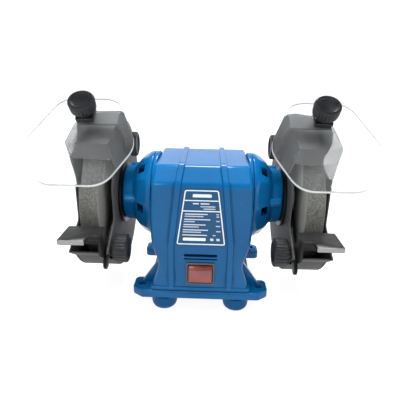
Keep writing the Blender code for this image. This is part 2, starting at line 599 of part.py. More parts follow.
def small_parts(rocker_axis):
    """Feet, bottom plate, switch, label, capacitor and cable gland."""
    for front, side_y in (("front", -1), ("rear", 1)):
        for name, side_x in SIDES.items():
            top = BASE_BOTTOM - GAP
            profile = [(0, 0), (0, FOOT_RADIUS - 3 * MM), (2.5 * MM, FOOT_RADIUS - 0.6 * MM),
                       (5 * MM, FOOT_RADIUS),
                       (top, FOOT_RADIUS), (top, FOOT_STEM),
                       (BASE_BOTTOM + FOOT_STEM_RISE - GAP, FOOT_STEM),
                       (BASE_BOTTOM + FOOT_STEM_RISE - GAP, 0)]
            shape = turned(profile, 20)
            shape.transform(Matrix.Translation((side_x * FOOT_X, side_y * FOOT_Y,
                                                0)) @ Matrix.Rotation(-math.pi / 2, 4, "Y"))
            piece(name + "_" + front + "_foot", shape, BLUE)
    inner = HOUSING_FRONT - FRONT_WALL
    low = BASE_BOTTOM + GAP
    plate = block((-CAVITY_HALF_WIDTH - PLATE_EDGE + GAP, -inner - PLATE_EDGE + GAP, low),
                  (CAVITY_HALF_WIDTH + PLATE_EDGE - GAP, inner + PLATE_EDGE - GAP, low + PLATE_WALL))
    piece("bottom_plate", plate, DARK_STEEL)

    half = Vector((SWITCH_WIDTH / 2, SWITCH_HEIGHT / 2))
    face = -HOUSING_FRONT - GAP
    front = face - SWITCH_FLANGE
    frame = block((-half.x, front, SWITCH_CENTRE - half.y), (half.x, face, SWITCH_CENTRE + half.y))
    holder = piece("switch_frame", frame, BLACK)
    neck = half - Vector((SWITCH_LIP, SWITCH_LIP))
    box = block((-neck.x, face - 0.5 * MM, SWITCH_CENTRE - neck.y),
                (neck.x, front + SWITCH_DEPTH, SWITCH_CENTRE + neck.y))
    combine(holder, "switch_body", box, "UNION")
    well = neck - Vector((SWITCH_WALL, SWITCH_WALL))
    hollow = block((-well.x, front - 5 * MM, SWITCH_CENTRE - well.y),
                   (well.x, front + SWITCH_DEPTH - SWITCH_WALL, SWITCH_CENTRE + well.y))
    combine(holder, "switch_well", hollow, "DIFFERENCE")
    reach = well - Vector((GAP, GAP))
    pivot = rocker_axis.location
    bow = [(front - pivot.y - 0.2 * MM, reach.y * 0.62), (front - pivot.y - 2.2 * MM, reach.y * 0.52),
           (front - pivot.y - 1.4 * MM, -reach.y * 0.2), (front - pivot.y - 2.0 * MM, -reach.y * 0.86),
           (front - pivot.y + 2.5 * MM, -reach.y * 0.92), (3 * MM, -reach.y * 0.6), (4 * MM, 0),
           (3 * MM, reach.y * 0.6),
           (front - pivot.y + 3.5 * MM, reach.y * 0.92), (front - pivot.y + 1.2 * MM, reach.y * 0.93)]
    rocker = prism([(pivot.y + y, pivot.z + z) for y, z in bow], -reach.x, reach.x)
    piece("switch_rocker", rocker, RED, rocker_axis)

    low_half, top_half = LABEL_WIDTHS[0] / 2, LABEL_WIDTHS[1] / 2
    corners = [(-low_half, LABEL_BOTTOM), (low_half, LABEL_BOTTOM), (top_half, LABEL_TOP),
               (-top_half, LABEL_TOP)]
    label = bmesh.new()
    rows = [[(x, -HOUSING_FRONT - GAP - depth, z) for x, z in corners] for depth in (0, LABEL_WALL)]
    first, last = skin(label, rows, True, False)
    label.faces.new(first[::-1])
    label.faces.new(last)
    piece("rating_plate", label, LABEL_BLUE)

    profile = [(-CAPACITOR_LENGTH / 2, 0), (-CAPACITOR_LENGTH / 2, CAPACITOR_RADIUS - 1 * MM),
               (-CAPACITOR_LENGTH / 2 + 1 * MM, CAPACITOR_RADIUS), (CAPACITOR_LENGTH / 2, CAPACITOR_RADIUS),
               (CAPACITOR_LENGTH / 2, 4 * MM), (CAPACITOR_LENGTH / 2 + 5 * MM, 3 * MM),
               (CAPACITOR_LENGTH / 2 + 5 * MM, 0)]
    capacitor = turned(profile, 16)
    capacitor.transform(Matrix.Translation((-2 * MM, 8 * MM,
                                            BASE_BOTTOM + PLATE_WALL + 4 * MM + CAPACITOR_RADIUS)))
    piece("capacitor", capacitor, BLACK)

    back = HOUSING_FRONT + GAP
    profile = [(inner - 4 * MM - back, 2.5 * MM), (inner - 4 * MM - back, GLAND_RADIUS), (0, GLAND_RADIUS),
               (0, GLAND_RADIUS + 2.5 * MM), (3 * MM, GLAND_RADIUS + 2.5 * MM), (4 * MM, GLAND_RADIUS),
               (GLAND_REACH, GLAND_RADIUS - 1.2 * MM), (GLAND_REACH, 2.5 * MM)]
    gland = turned(profile, 16, ring=True)
    gland.transform(Matrix.Translation((0, back, GLAND_HEIGHT)) @ Matrix.Rotation(math.pi / 2, 4, "Z"))
    piece("cable_gland", gland, BLACK)


def round_back(radius):
    """The round part of a guard's outline, from the lip under the wheel and up behind it to the top."""
    return arc((0, 0), radius, LIP_ANGLE, 2 * math.pi, 18)[:-1] + arc((0, 0), radius, 0, math.pi / 2, 12)


def guard_outline():
    """The (y, z) outline of a wheel guard, from the shaft line: round, with a beak and a lower lip."""
    points = round_back(GUARD_RADIUS)
    points += [(KNEE_Y, GUARD_RADIUS), tuple(BEAK), tuple(BEAK_HEEL), (-38 * MM, 30 * MM),
               (-44 * MM, 18 * MM),
               (-44 * MM, -12 * MM), (-51 * MM, -16 * MM), (-66 * MM, -26 * MM), tuple(LIP)]
    return points


def guard_hollow():
    """The (y, z) outline of the space inside a guard, open at the front of the mouth."""
    inner = GUARD_RADIUS - SHEET
    points = round_back(inner)
    heel = BEAK_HEEL
    slope = (BEAK - heel).normalized()
    inward = Vector((slope.y, -slope.x))
    if inward.x < 0:
        inward = -inward
    points += [(KNEE_Y + SHEET * 0.3, inner), tuple(BEAK + inward * SHEET + Vector((1.2 * MM, -0.4 * MM))),
               tuple(heel + inward * SHEET), (heel.x + SHEET, heel.y - 0.2 * MM),
               (heel.x - 60 * MM, heel.y - 0.2 * MM)]
    corner = Vector((inner * math.cos(LIP_ANGLE), inner * math.sin(LIP_ANGLE)))
    outer = Vector((GUARD_RADIUS * math.cos(LIP_ANGLE), GUARD_RADIUS * math.sin(LIP_ANGLE)))
    run = (LIP - outer).normalized()
    points += [tuple(corner + run * 60 * MM)]
    return points


def guard(name, side):
    """Inner wall and band of one guard, its cover and the cover's screws."""
    ends = (side * GUARD_START, side * GUARD_END)
    shell = piece(name + "_guard", prism(raised(guard_outline()), *ends), GREY)
    hollow = prism(raised(guard_hollow()), side * (GUARD_START + SHEET), side * (GUARD_END + 5 * MM))
    combine(shell, name + "_guard_hollow", hollow, "DIFFERENCE")
    bosses = bmesh.new()
    holes = bmesh.new()
    reach = GUARD_RADIUS - SHEET - SCREW_BOSS + 1 * MM
    places = [(reach * math.cos(math.radians(turn)), reach * math.sin(math.radians(turn)))
              for turn in SCREW_ANGLES]
    for place in places:
        prism(raised(circle(place, SCREW_BOSS, 10)), side * (GUARD_END - 14 * MM),
              side * (GUARD_END - 0.05 * MM), bosses)
        prism(raised(circle(place, SCREW_RADIUS + GAP, 10)), side * (GUARD_END - 10 * MM),
              side * (GUARD_END + 8 * MM), holes)
    combine(shell, name + "_guard_bosses", bosses, "UNION")
    ends = sorted((side * (GUARD_START + SHEET - 0.1 * MM), side * (TAB_START + TAB_WALL + NOTCH_GAP)))
    notch = block((ends[0], STUD.x - 30 * MM, SHAFT_HEIGHT + STUD.y - 14 * MM),
                  (ends[1], STUD.x + 7 * MM, SHAFT_HEIGHT + STUD.y + 12 * MM))
    combine(shell, name + "_guard_notch", notch, "DIFFERENCE")
    for place, radius in (((0, 0), HUB_RADIUS + 1.5 * MM), (tuple(STUD), STUD_RADIUS + FIT),
                          (tuple(PIVOT), STUD_RADIUS + FIT)):
        prism(raised(circle(place, radius, 20)), side * (GUARD_START - 5 * MM),
              side * (GUARD_START + 4 * MM), holes)
    combine(shell, name + "_guard_holes", holes, "DIFFERENCE")

    cover = piece(name + "_guard_cover", prism(raised(guard_outline()), side * COVER_START,
                                               side * (COVER_START + SHEET)), GREY)
    start, end = COVER_START + 0.5 * MM, DISH_END
    dish = turned([(start, 0), (start, DISH_RADIUS), (end - 1.5 * MM, DISH_RADIUS - 1 * MM),
                   (end, DISH_RADIUS - 3 * MM), (end, 0)], 24)
    combine(cover, name + "_cover_dish", at_shaft(dish, side), "UNION")
    inside = turned([(COVER_START - 5 * MM, 0), (COVER_START - 5 * MM, DISH_RADIUS - SHEET - 1 * MM),
                     (end - SHEET, DISH_RADIUS - SHEET - 2.5 * MM), (end - SHEET, 0)], 24)
    combine(cover, name + "_cover_hollow", at_shaft(inside, side), "DIFFERENCE")
    openings = bmesh.new()
    for place in places:
        prism(raised(circle(place, SCREW_RADIUS + GAP, 10)), side * (COVER_START - 5 * MM),
              side * (COVER_START + 5 * MM), openings)
    combine(cover, name + "_cover_holes", openings, "DIFFERENCE")
    head = COVER_START + SHEET + GAP
    for index, (y, z) in enumerate(places, 1):
        profile = [(head - SCREW_LENGTH, 0), (head - SCREW_LENGTH, SCREW_RADIUS), (head, SCREW_RADIUS),
                   (head, SCREW_HEAD),
                   (head + 1.2 * MM, SCREW_HEAD - 0.3 * MM), (head + 1.9 * MM, SCREW_HEAD * 0.55),
                   (head + 1.9 * MM, 0)]
        screw = turned(profile, 12)
        screw.transform(Matrix.Translation((0, y, z)))
        piece(f"{name}_cover_screw_{index}", at_shaft(screw, side), STEEL)

    profile = [(RING_START, HUB_RADIUS + 1.5 * MM), (RING_START, RING_RADIUS - 0.8 * MM),
               (RING_START + 0.8 * MM, RING_RADIUS),
               (RING_START + RING_WIDTH, RING_RADIUS), (RING_START + RING_WIDTH, HUB_RADIUS + 1.5 * MM)]
    piece(name + "_mounting_ring", at_shaft(turned(profile, 24, ring=True), side), BLACK)


def knob(radius, height, hub_radius, hub_length, stud_length, lobes):
    """A moulded clamp knob with its stud, face at the start of X, stud pointing along +X."""
    profile = [(1.8 * MM, 0), (1.8 * MM, radius * 0.62), (0.3 * MM, radius * 0.7), (0, radius * 0.76),
               (0, radius * 0.9, 1), (0.8 * MM, radius, 1), (height - 1.5 * MM, radius * 0.97, 1),
               (height, radius * 0.86, 1), (height, hub_radius), (height + hub_length, hub_radius),
               (height + hub_length, STUD_RADIUS), (height + hub_length + stud_length, STUD_RADIUS),
               (height + hub_length + stud_length, 0)]
    return turned(profile, lobes * 2, lobes=lobes, lobe_depth=0.9 * MM)


def tool_rest(name, side, axis, knob_axis):
    """Slotted strip, sliding rest plate with its tab, and the clamp knob."""
    run = (STUD - STRIP_TOP).normalized()
    bottom = STRIP_TOP + run * STRIP_LENGTH
    shape = prism(raised(slot_outline(STRIP_TOP, bottom, STRIP_WIDTH / 2)), side * STRIP_START,
                  side * (STRIP_START + STRIP_WALL))
    strip = piece(name + "_rest_bracket", shape, BLACK)
    ends = (STUD - run * 8 * MM, STUD + run * 5 * MM)
    slot = prism(raised(slot_outline(ends[0], ends[1], STUD_RADIUS + FIT)), side * (STRIP_START - 3 * MM),
                 side * (STRIP_START + STRIP_WALL + 3 * MM))
    combine(strip, name + "_bracket_slot", slot, "DIFFERENCE")
    rivet = prism(raised(circle(STRIP_TOP + run * 3 * MM, RIVET_RADIUS, 16)),
                  side * (STRIP_START + 0.5 * STRIP_WALL), side * (STRIP_START + STRIP_WALL + RIVET_HEIGHT))
    combine(strip, name + "_bracket_rivet", rivet, "UNION")

    top = SHAFT_HEIGHT + REST_TOP
    back = -math.sqrt(WHEEL_RADIUS ** 2 - REST_TOP ** 2) - REST_GAP
    front = back - REST_DEPTH
    outer = REST_START + REST_WIDTH
    corner = 2 * MM
    outline = [(REST_START, back), (outer - corner, back), (outer, back - corner), (outer, front + corner),
               (outer - corner, front), (REST_START + REST_STEP.x, front),
               (REST_START + REST_STEP.x, front + REST_STEP.y), (REST_START, front + REST_STEP.y)]
    plate = upright([(side * x, y) for x, y in outline], top - REST_WALL, top)
    rest = piece(name + "_tool_rest", plate, BLACK, axis)
    slot_back = STUD.x + REST_TRAVEL_OUT
    slot_front = STUD.x - REST_TRAVEL_IN
    margin = STUD_RADIUS + 3.4 * MM
    brace_back = back - 5 * MM
    brace_front = back - 12 * MM
    brace_low = REST_TOP - REST_WALL - 7 * MM
    tab = [(slot_back + margin, STUD.y + margin), (slot_back + margin, STUD.y - margin),
           (slot_front - margin, STUD.y - margin), (brace_front, STUD.y - margin + 6 * MM),
           (brace_front, REST_TOP - 1.5 * MM), (brace_back, REST_TOP - 1.5 * MM),
           (brace_back + 5 * MM, STUD.y + margin)]
    shape = prism(raised(tab), side * TAB_START, side * (TAB_START + TAB_WALL))
    combine(rest, name + "_rest_tab", shape, "UNION")
    brace = [(brace_back - 1.5 * MM, REST_TOP - 1 * MM), (brace_back - 1.5 * MM, brace_low),
             (brace_front + 1 * MM, brace_low), (brace_front + 1 * MM, REST_TOP - 1 * MM)]
    bar = bmesh.new()
    rows = [[(side * x, y, z) for y, z in raised(brace)] for x in (TAB_START + 0.5 * TAB_WALL,
                                                                   outer - 7 * MM)]
    rings = skin(bar, rows, True, False)
    bar.faces.new(rings[0][::-1])
    bar.faces.new(rings[-1])
    combine(rest, name + "_rest_brace", bar, "UNION")
    slot = prism(raised(slot_outline((slot_front, STUD.y), (slot_back, STUD.y), STUD_RADIUS + FIT)),
                 side * (TAB_START - 3 * MM), side * (TAB_START + TAB_WALL + 3 * MM))
    combine(rest, name + "_rest_slot", slot, "DIFFERENCE")

    hub = 1.5 * MM
    seat = GUARD_START - GAP
    stack = TAB_START + TAB_WALL + STUD_PROUD - seat
    shape = knob(REST_KNOB_RADIUS, REST_KNOB_HEIGHT, 7 * MM, hub, stack, KNOB_LOBES)
    shape.transform(Matrix.Translation((seat - hub - REST_KNOB_HEIGHT, STUD.x, STUD.y)))
    piece(name + "_rest_knob", at_shaft(shape, side), BLACK, knob_axis)


def tilted(side, across, along, out):
    """A point on the shield's plane: across the machine, up the slope, and out towards the operator."""
    wheel_middle = (WHEEL_START + WHEEL_END) / 2
    y = CLAMP_POINT.x + along * math.cos(SHIELD_TILT) - out * math.sin(SHIELD_TILT)
    z = CLAMP_POINT.y + along * math.sin(SHIELD_TILT) + out * math.cos(SHIELD_TILT)
    return (side * (wheel_middle + across), y, SHAFT_HEIGHT + z)


def tilted_slab(side, outline, low, high, shape=None):
    """Extrude an (across, along) outline square to the shield's plane."""
    shape = shape or bmesh.new()
    rows = [[tilted(side, across, along, out) for across, along in outline] for out in (low, high)]
    first, last = skin(shape, rows, True, False)
    shape.faces.new(first[::-1])
    shape.faces.new(last)
    return shape


def shield_outline():
    """Rounded hexagon of the eye shield, widest above the middle and narrowest at the bottom."""
    corners = [(-SHIELD_TOP, SHIELD_RISE), (SHIELD_TOP, SHIELD_RISE), (SHIELD_HALF_WIDTH, -SHIELD_WAIST),
               (SHIELD_TIP, -SHIELD_DROP), (-SHIELD_TIP, -SHIELD_DROP), (-SHIELD_HALF_WIDTH, -SHIELD_WAIST)]
    points = [Vector(corner) for corner in corners]
    steps = 5
    outline = []
    for index, point in enumerate(points):
        before = points[index - 1]
        after = points[(index + 1) % len(points)]
        start = point + (before - point).normalized() * SHIELD_CORNER
        end = point + (after - point).normalized() * SHIELD_CORNER
        for step in range(steps + 1):
            share = step / steps
            outline.append(tuple(start * (1 - share) ** 2 + point * 2 * share * (1 - share) + end * share ** 2))
    return outline


def eye_shield(name, side, arm_axis, shield_axis, knob_axis, arm_knob_axis):
    """Folded arm, clear shield, clamp plate and the two clamp knobs."""
    middle = (WHEEL_START + WHEEL_END) / 2
    leg_out = GUARD_START - ARM_OFFSET
    leg_in = leg_out - ARM_WALL
    below = -SHIELD_WALL / 2 - GAP
    low = -CROSSBAR_HEIGHT / 2
    high = CROSSBAR_HEIGHT / 2
    left_end, right_end = leg_in - middle + ARM_WALL / 2, leg_in - middle + CROSSBAR_WIDTH
    face = [(left_end, low), (right_end - 3 * MM, low), (right_end, low + 3 * MM), (right_end, high),
            (left_end, high)]
    arm = piece(name + "_shield_arm", tilted_slab(side, face, below - ARM_WALL, below), GREY, arm_axis)

    edge = Vector(tilted(side, 0, high, below - ARM_WALL)[1:])
    flange = [(edge.x - 1.5 * MM, edge.y - 1.2 * MM), (edge.x - 0.6 * MM, edge.y + 0.8 * MM),
              (edge.x + CROSSBAR_FLANGE, edge.y + 0.8 * MM), (edge.x + CROSSBAR_FLANGE, edge.y - 1.2 * MM)]
    shape = prism(flange, side * (leg_in + 0.4 * ARM_WALL), side * (leg_in + CROSSBAR_WIDTH - 1.5 * MM))
    combine(arm, name + "_arm_flange", shape, "UNION")
    toe = Vector(tilted(side, 0, low + 0.5 * MM, below - 0.4 * MM)[1:])
    heel = Vector(tilted(side, 0, high - 0.5 * MM, below - 0.4 * MM)[1:])
    leg = [tuple(toe), tuple(heel), (edge.x + CROSSBAR_FLANGE - 0.8 * MM, edge.y + 0.5 * MM)]
    leg += raised([(PIVOT.x + 14 * MM, PIVOT.y + 10 * MM)] + arc(PIVOT, 12 * MM, 0, -math.pi, 8))
    shape = prism(leg[::-1], side * leg_in, side * leg_out)
    combine(arm, name + "_arm_leg", shape, "UNION")
    spacer = turned([(leg_out - 1 * MM, 0), (leg_out - 1 * MM, 7 * MM), (GUARD_START - GAP, 7 * MM),
                     (GUARD_START - GAP, 0)], 20)
    spacer.transform(Matrix.Translation((0, PIVOT.x, PIVOT.y)))
    combine(arm, name + "_arm_spacer", at_shaft(spacer, side), "UNION")
    stud_hole = tilted_slab(side, circle((0, 0), STUD_RADIUS + FIT, 20), below - ARM_WALL - 5 * MM, 0)
    combine(arm, name + "_crossbar_hole", stud_hole, "DIFFERENCE")
    hole = prism(raised(circle(PIVOT, STUD_RADIUS + FIT, 20)), side * (leg_in - 5 * MM),
                 side * (GUARD_START + 5 * MM))
    combine(arm, name + "_arm_hole", hole, "DIFFERENCE")

    shield = piece(name + "_eye_shield", tilted_slab(side, shield_outline(), -SHIELD_WALL / 2,
                                                     SHIELD_WALL / 2), SMOKE, shield_axis)
    hole = tilted_slab(side, circle((0, 0), STUD_RADIUS + FIT, 20), -SHIELD_WALL - 3 * MM,
                       SHIELD_WALL + 3 * MM)
    combine(shield, name + "_shield_hole", hole, "DIFFERENCE")

    start = SHIELD_WALL / 2 + GAP
    half = CLAMP_WIDTH / 2
    pad = [(-half, low), (half, low), (half, high), (-half, high)]
    clamp = piece(name + "_shield_clamp", tilted_slab(side, pad, start, start + CLAMP_WALL), BLACK,
                  arm_axis)
    hole = tilted_slab(side, circle((0, 0), STUD_RADIUS + FIT, 20), start - 3 * MM,
                       start + CLAMP_WALL + 3 * MM)
    combine(clamp, name + "_clamp_hole", hole, "DIFFERENCE")

    hub = 4 * MM
    base = start + CLAMP_WALL + GAP
    shape = knob(SHIELD_KNOB_RADIUS, SHIELD_KNOB_HEIGHT, 5.5 * MM, hub, base - below + ARM_WALL + 1 * MM,
                 KNOB_LOBES)
    face_out = base + hub + SHIELD_KNOB_HEIGHT
    turn = Matrix(((0, 0, 1), (math.sin(SHIELD_TILT), math.cos(SHIELD_TILT), 0),
                   (-math.cos(SHIELD_TILT), math.sin(SHIELD_TILT), 0)))
    shape.transform(Matrix.Translation(tilted(side, 0, 0, face_out)) @ turn.to_4x4())
    piece(name + "_shield_knob", shape, BLACK, knob_axis)

    hub = 1.5 * MM
    shape = knob(ARM_KNOB_RADIUS, ARM_KNOB_HEIGHT, 6.5 * MM, hub,
                 GUARD_START + SHEET + 1 * MM - leg_in + GAP, KNOB_LOBES)
    shape.transform(Matrix.Translation((leg_in - GAP - hub - ARM_KNOB_HEIGHT, PIVOT.x, PIVOT.y)))
    piece(name + "_arm_knob", at_shaft(shape, side), BLACK, arm_knob_axis)


clear_scene()
rear = GUARD_RADIUS
lowest_along = -SHIELD_DROP
front = tilted(1, 0, lowest_along, SHIELD_WALL / 2)[1]
machine = empty("bench_grinder_frame", (0, -(rear + front) / 2, 0))
spindle_axis = empty("spindle_axis", SHAFT, machine)
rocker_axis = empty("rocker_axis", (0, -HOUSING_FRONT + 4 * MM, SWITCH_CENTRE), machine)
motor_housing()
stator()
spindle_pieces(spindle_axis)
small_parts(rocker_axis)
for name, side in SIDES.items():
    end_bell(name, side)
    guard(name, side)
    rest_axis = empty(name + "_rest_axis", (side * TAB_START, STUD.x, SHAFT_HEIGHT + STUD.y), machine)
    rest_knob_axis = empty(name + "_rest_knob_axis", (side * GUARD_START, STUD.x, SHAFT_HEIGHT + STUD.y),
                           machine)
    tool_rest(name, side, rest_axis, rest_knob_axis)
    pivot_place = Vector((side * GUARD_START, PIVOT.x, SHAFT_HEIGHT + PIVOT.y))
    clamp_place = Vector(tilted(side, 0, 0, 0))
    axes = [empty(name + "_arm_axis", pivot_place, machine),
            empty(name + "_shield_axis", clamp_place, machine),
            empty(name + "_shield_knob_axis", clamp_place, machine),
            empty(name + "_arm_knob_axis", pivot_place, machine)]
    eye_shield(name, side, *axes)
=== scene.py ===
import math

import bmesh
import bpy
import numpy as np
from mathutils import Matrix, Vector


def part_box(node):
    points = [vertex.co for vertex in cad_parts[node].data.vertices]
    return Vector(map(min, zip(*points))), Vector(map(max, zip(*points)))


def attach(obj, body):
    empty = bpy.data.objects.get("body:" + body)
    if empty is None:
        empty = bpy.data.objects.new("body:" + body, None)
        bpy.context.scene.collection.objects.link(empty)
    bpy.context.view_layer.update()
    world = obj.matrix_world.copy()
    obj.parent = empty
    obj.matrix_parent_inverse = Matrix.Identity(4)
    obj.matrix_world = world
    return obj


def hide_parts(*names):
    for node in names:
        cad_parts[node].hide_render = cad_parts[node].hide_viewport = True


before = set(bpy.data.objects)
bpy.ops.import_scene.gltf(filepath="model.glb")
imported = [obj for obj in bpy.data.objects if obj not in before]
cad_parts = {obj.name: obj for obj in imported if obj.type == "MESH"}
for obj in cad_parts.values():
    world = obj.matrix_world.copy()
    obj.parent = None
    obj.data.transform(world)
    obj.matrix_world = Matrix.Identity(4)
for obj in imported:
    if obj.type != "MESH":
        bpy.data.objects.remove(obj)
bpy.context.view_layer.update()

# ---- Stator, rotor, windings and bearings -------------------------------------------------
# The motor inside the casting.  Stacked and varnished steel laminations, copper wire ends and
# ground steel races; only glimpses of them show through the end bells' windows.
mm = 0.001
hands = (("left", -1), ("right", 1))


def principled(name, colour, roughness, metallic=0.0):
    """A new material and its node tree and Principled shader, with plain starting values."""
    material = bpy.data.materials.new(name)
    material.use_nodes = True
    tree = material.node_tree
    shader = tree.nodes["Principled BSDF"]
    shader.inputs["Base Color"].default_value = (*colour, 1)
    shader.inputs["Roughness"].default_value = roughness
    shader.inputs["Metallic"].default_value = metallic
    return material, tree, shader


def noise(tree, scale, detail=3.0, stretch=(1, 1, 1)):
    """A noise over Object coordinates; scale is in grains per metre, stretch multiplies each axis."""
    place = tree.nodes.new("ShaderNodeTexCoord")
    turn = tree.nodes.new("ShaderNodeMapping")
    turn.inputs["Scale"].default_value = stretch
    grain = tree.nodes.new("ShaderNodeTexNoise")
    grain.inputs["Scale"].default_value = scale
    grain.inputs["Detail"].default_value = detail
    tree.links.new(place.outputs["Object"], turn.inputs["Vector"])
    tree.links.new(turn.outputs["Vector"], grain.inputs["Vector"])
    return grain.outputs["Fac"]


def ramp(tree, value, stops):
    """A colour ramp over a value; stops are (position, colour) pairs."""
    node = tree.nodes.new("ShaderNodeValToRGB")
    band = node.color_ramp
    while len(band.elements) < len(stops):
        band.elements.new(0.5)
    for element, (position, colour) in zip(band.elements, stops):
        element.position = position
        element.color = (*colour, 1)
    tree.links.new(value, node.inputs["Fac"])
    return node.outputs["Color"]


def spread(tree, value, low, high):
    """A value from 0 to 1 mapped to low to high."""
    node = tree.nodes.new("ShaderNodeMapRange")
    node.inputs["To Min"].default_value = low
    node.inputs["To Max"].default_value = high
    tree.links.new(value, node.inputs["Value"])
    return node.outputs["Result"]


def tinge(tree, shader, value, stops):
    """The base colour as a ramp over a value."""
    tree.links.new(ramp(tree, value, stops), shader.inputs["Base Color"])


def polish(tree, shader, value, low, high):
    """The roughness as a value spread from low to high."""
    tree.links.new(spread(tree, value, low, high), shader.inputs["Roughness"])


def relief(tree, shader, value, depth, strength=1.0):
    """Bump from a value, its depth in metres."""
    node = tree.nodes.new("ShaderNodeBump")
    node.inputs["Distance"].default_value = depth
    node.inputs["Strength"].default_value = strength
    tree.links.new(value, node.inputs["Height"])
    last = shader.inputs["Normal"]
    if last.is_linked:
        tree.links.new(last.links[0].from_socket, node.inputs["Normal"])
    tree.links.new(node.outputs["Normal"], last)


def dress(node_name, material):
    """Give a CAD node a finish through its material slot."""
    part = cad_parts[node_name]
    if part.material_slots:
        part.material_slots[0].material = material
    else:
        part.data.materials.append(material)


laminations, tree, shader = principled("varnished_laminations", (0.11, 0.1, 0.1), 0.5, 0.8)
stack = noise(tree, 900, 1.0, (1, 0.02, 0.02))
tinge(tree, shader, stack, [(0.4, (0.05, 0.045, 0.045)), (0.6, (0.2, 0.19, 0.19))])
relief(tree, shader, stack, 0.2 * mm)
for node_name in ("stator_core", "rotor_core"):
    dress(node_name, laminations)

copper, tree, shader = principled("varnished_copper_wire", (0.5, 0.17, 0.06), 0.3, 0.9)
wires = noise(tree, 700, 1.0, (1, 0.25, 0.25))
tinge(tree, shader, wires, [(0.35, (0.22, 0.06, 0.02)), (0.6, (0.62, 0.24, 0.1))])
relief(tree, shader, wires, 0.4 * mm)
for side, hand in hands:
    dress(side + "_winding", copper)

ground_steel, tree, shader = principled("ground_steel", (0.56, 0.56, 0.57), 0.28, 1.0)
rings = noise(tree, 500, 2.0, (8, 0.6, 0.6))
polish(tree, shader, rings, 0.18, 0.42)
relief(tree, shader, rings, 0.03 * mm)
dress("shaft", ground_steel)
for side, hand in hands:
    dress(side + "_bearing_outer_race", ground_steel)
    dress(side + "_bearing_inner_race", ground_steel)

capacitor_case, tree, shader = principled("capacitor_case", (0.02, 0.02, 0.022), 0.4)
relief(tree, shader, noise(tree, 1500), 0.05 * mm)
dress("capacitor", capacitor_case)

plate_paint, tree, shader = principled("bottom_plate_paint", (0.03, 0.03, 0.032), 0.5, 0.3)
patches = noise(tree, 90, 5.0)
tinge(tree, shader, patches, [(0.3, (0.015, 0.015, 0.017)), (0.75, (0.05, 0.05, 0.052))])
relief(tree, shader, noise(tree, 2500), 0.04 * mm)
dress("bottom_plate", plate_paint)

# ---- Motor housing ----------------------------------------------------------------------
# One iron casting that holds the stator and stands on four feet.  Cast with a waist, a sloped
# front edge and two ribs, ground on the base, then sprayed with thick gloss blue enamel.
housing_low = np.array(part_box("motor_housing")[0])
wheel_low, wheel_high = (np.array(corner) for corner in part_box("left_wheel"))
shaft_y = (wheel_low[1] + wheel_high[1]) / 2
shaft_z = (wheel_low[2] + wheel_high[2]) / 2
gap = 0.3 * mm
body_front = 52 * mm
body_top = 137.5 * mm
body_half = 44.8 * mm
waist_cut = 6.4 * mm
top_cut = 2.6 * mm
chamfer_drop = 13 * mm
chamfer_depth = 16 * mm
base_bottom = housing_low[2]
ear_top = 21.5 * mm
base_top = 27 * mm
stator_radius = 33.5 * mm
bolt_hole, stem_hole = 3.25 * mm, 3.4 * mm
collar_radius = 41 * mm
cavity_half = 27 * mm
front_wall = 4 * mm


def grid_faces(rows, columns, wrap_rows, wrap_columns):
    """Quads over a grid of points, joined along rows and columns, round them where they wrap."""
    i, j = np.meshgrid(np.arange(rows if wrap_rows else rows - 1),
                       np.arange(columns if wrap_columns else columns - 1), indexing="ij")
    k, l = (i + 1) % rows, (j + 1) % columns
    quads = np.stack([i * columns + j, i * columns + l, k * columns + l, k * columns + j], axis=-1)
    return quads.reshape(-1, 4).tolist()


def tube(points, wrap_rows=False):
    """A closed shell from rings of points, one ring a row; the end rings are filled unless rows wrap."""
    rows, columns = points.shape[:2]
    faces = grid_faces(rows, columns, wrap_rows, True)
    if not wrap_rows:
        faces += [list(range(columns))[::-1], list(range((rows - 1) * columns, rows * columns))]
    return points.reshape(-1, 3), faces


def rounded(corners, radius, steps=5):
    """A polygon whose corners are eased by parabolas that start a radius from each corner."""
    corners = np.asarray(corners, float)
    before, after = np.roll(corners, 1, axis=0), np.roll(corners, -1, axis=0)
    reach = np.broadcast_to(np.asarray(radius, float), len(corners))[:, None]
    back = np.linalg.norm(before - corners, axis=1, keepdims=True)
    ahead = np.linalg.norm(after - corners, axis=1, keepdims=True)
    start = corners + (before - corners) / back * np.minimum(reach, back * 0.48)
    end = corners + (after - corners) / ahead * np.minimum(reach, ahead * 0.48)
    share = np.linspace(0, 1, steps)[None, :, None]
    curve = (start[:, None] * (1 - share) ** 2 + corners[:, None] * 2 * share * (1 - share)
             + end[:, None] * share ** 2)
    return curve.reshape(-1, 2)


def inset(outline, distance):
    """An outline moved in along the mean of its edges' normals."""
    before = outline - np.roll(outline, 1, axis=0)
    after = np.roll(outline, -1, axis=0) - outline
    before /= np.linalg.norm(before, axis=1, keepdims=True) + 1e-12
    after /= np.linalg.norm(after, axis=1, keepdims=True) + 1e-12
    run = before + after
    run /= np.linalg.norm(run, axis=1, keepdims=True)
    lean = np.sqrt(np.clip((1 + (before * after).sum(axis=1)) / 2, 0.25, 1))[:, None]
    area = np.sum(outline[:, 0] * np.roll(outline[:, 1], -1) - np.roll(outline[:, 0], -1) * outline[:, 1])
    inward = np.stack([-run[:, 1], run[:, 0]], axis=1) * np.sign(area)
    return outline + inward * distance / lean


def slab(outline, low, high, ease, axis, steps=4):
    """An outline carried along an axis between two heights, its end edges rounded by ease."""
    turn = np.linspace(0, math.pi / 2, steps)
    depths = np.concatenate([ease * (1 - np.sin(turn)), (ease * (1 - np.sin(turn)))[::-1]])
    heights = np.concatenate([low + ease * (1 - np.cos(turn)), (high - ease * (1 - np.cos(turn)))[::-1]])
    rings = [np.insert(inset(np.asarray(outline, float), depth), axis, height, axis=1)
             for depth, height in zip(depths, heights)]
    return tube(np.array(rings))


def between(hand, near, far):
    """Two distances from the middle on one side of it, the lower first."""
    return sorted((hand * near, hand * far))


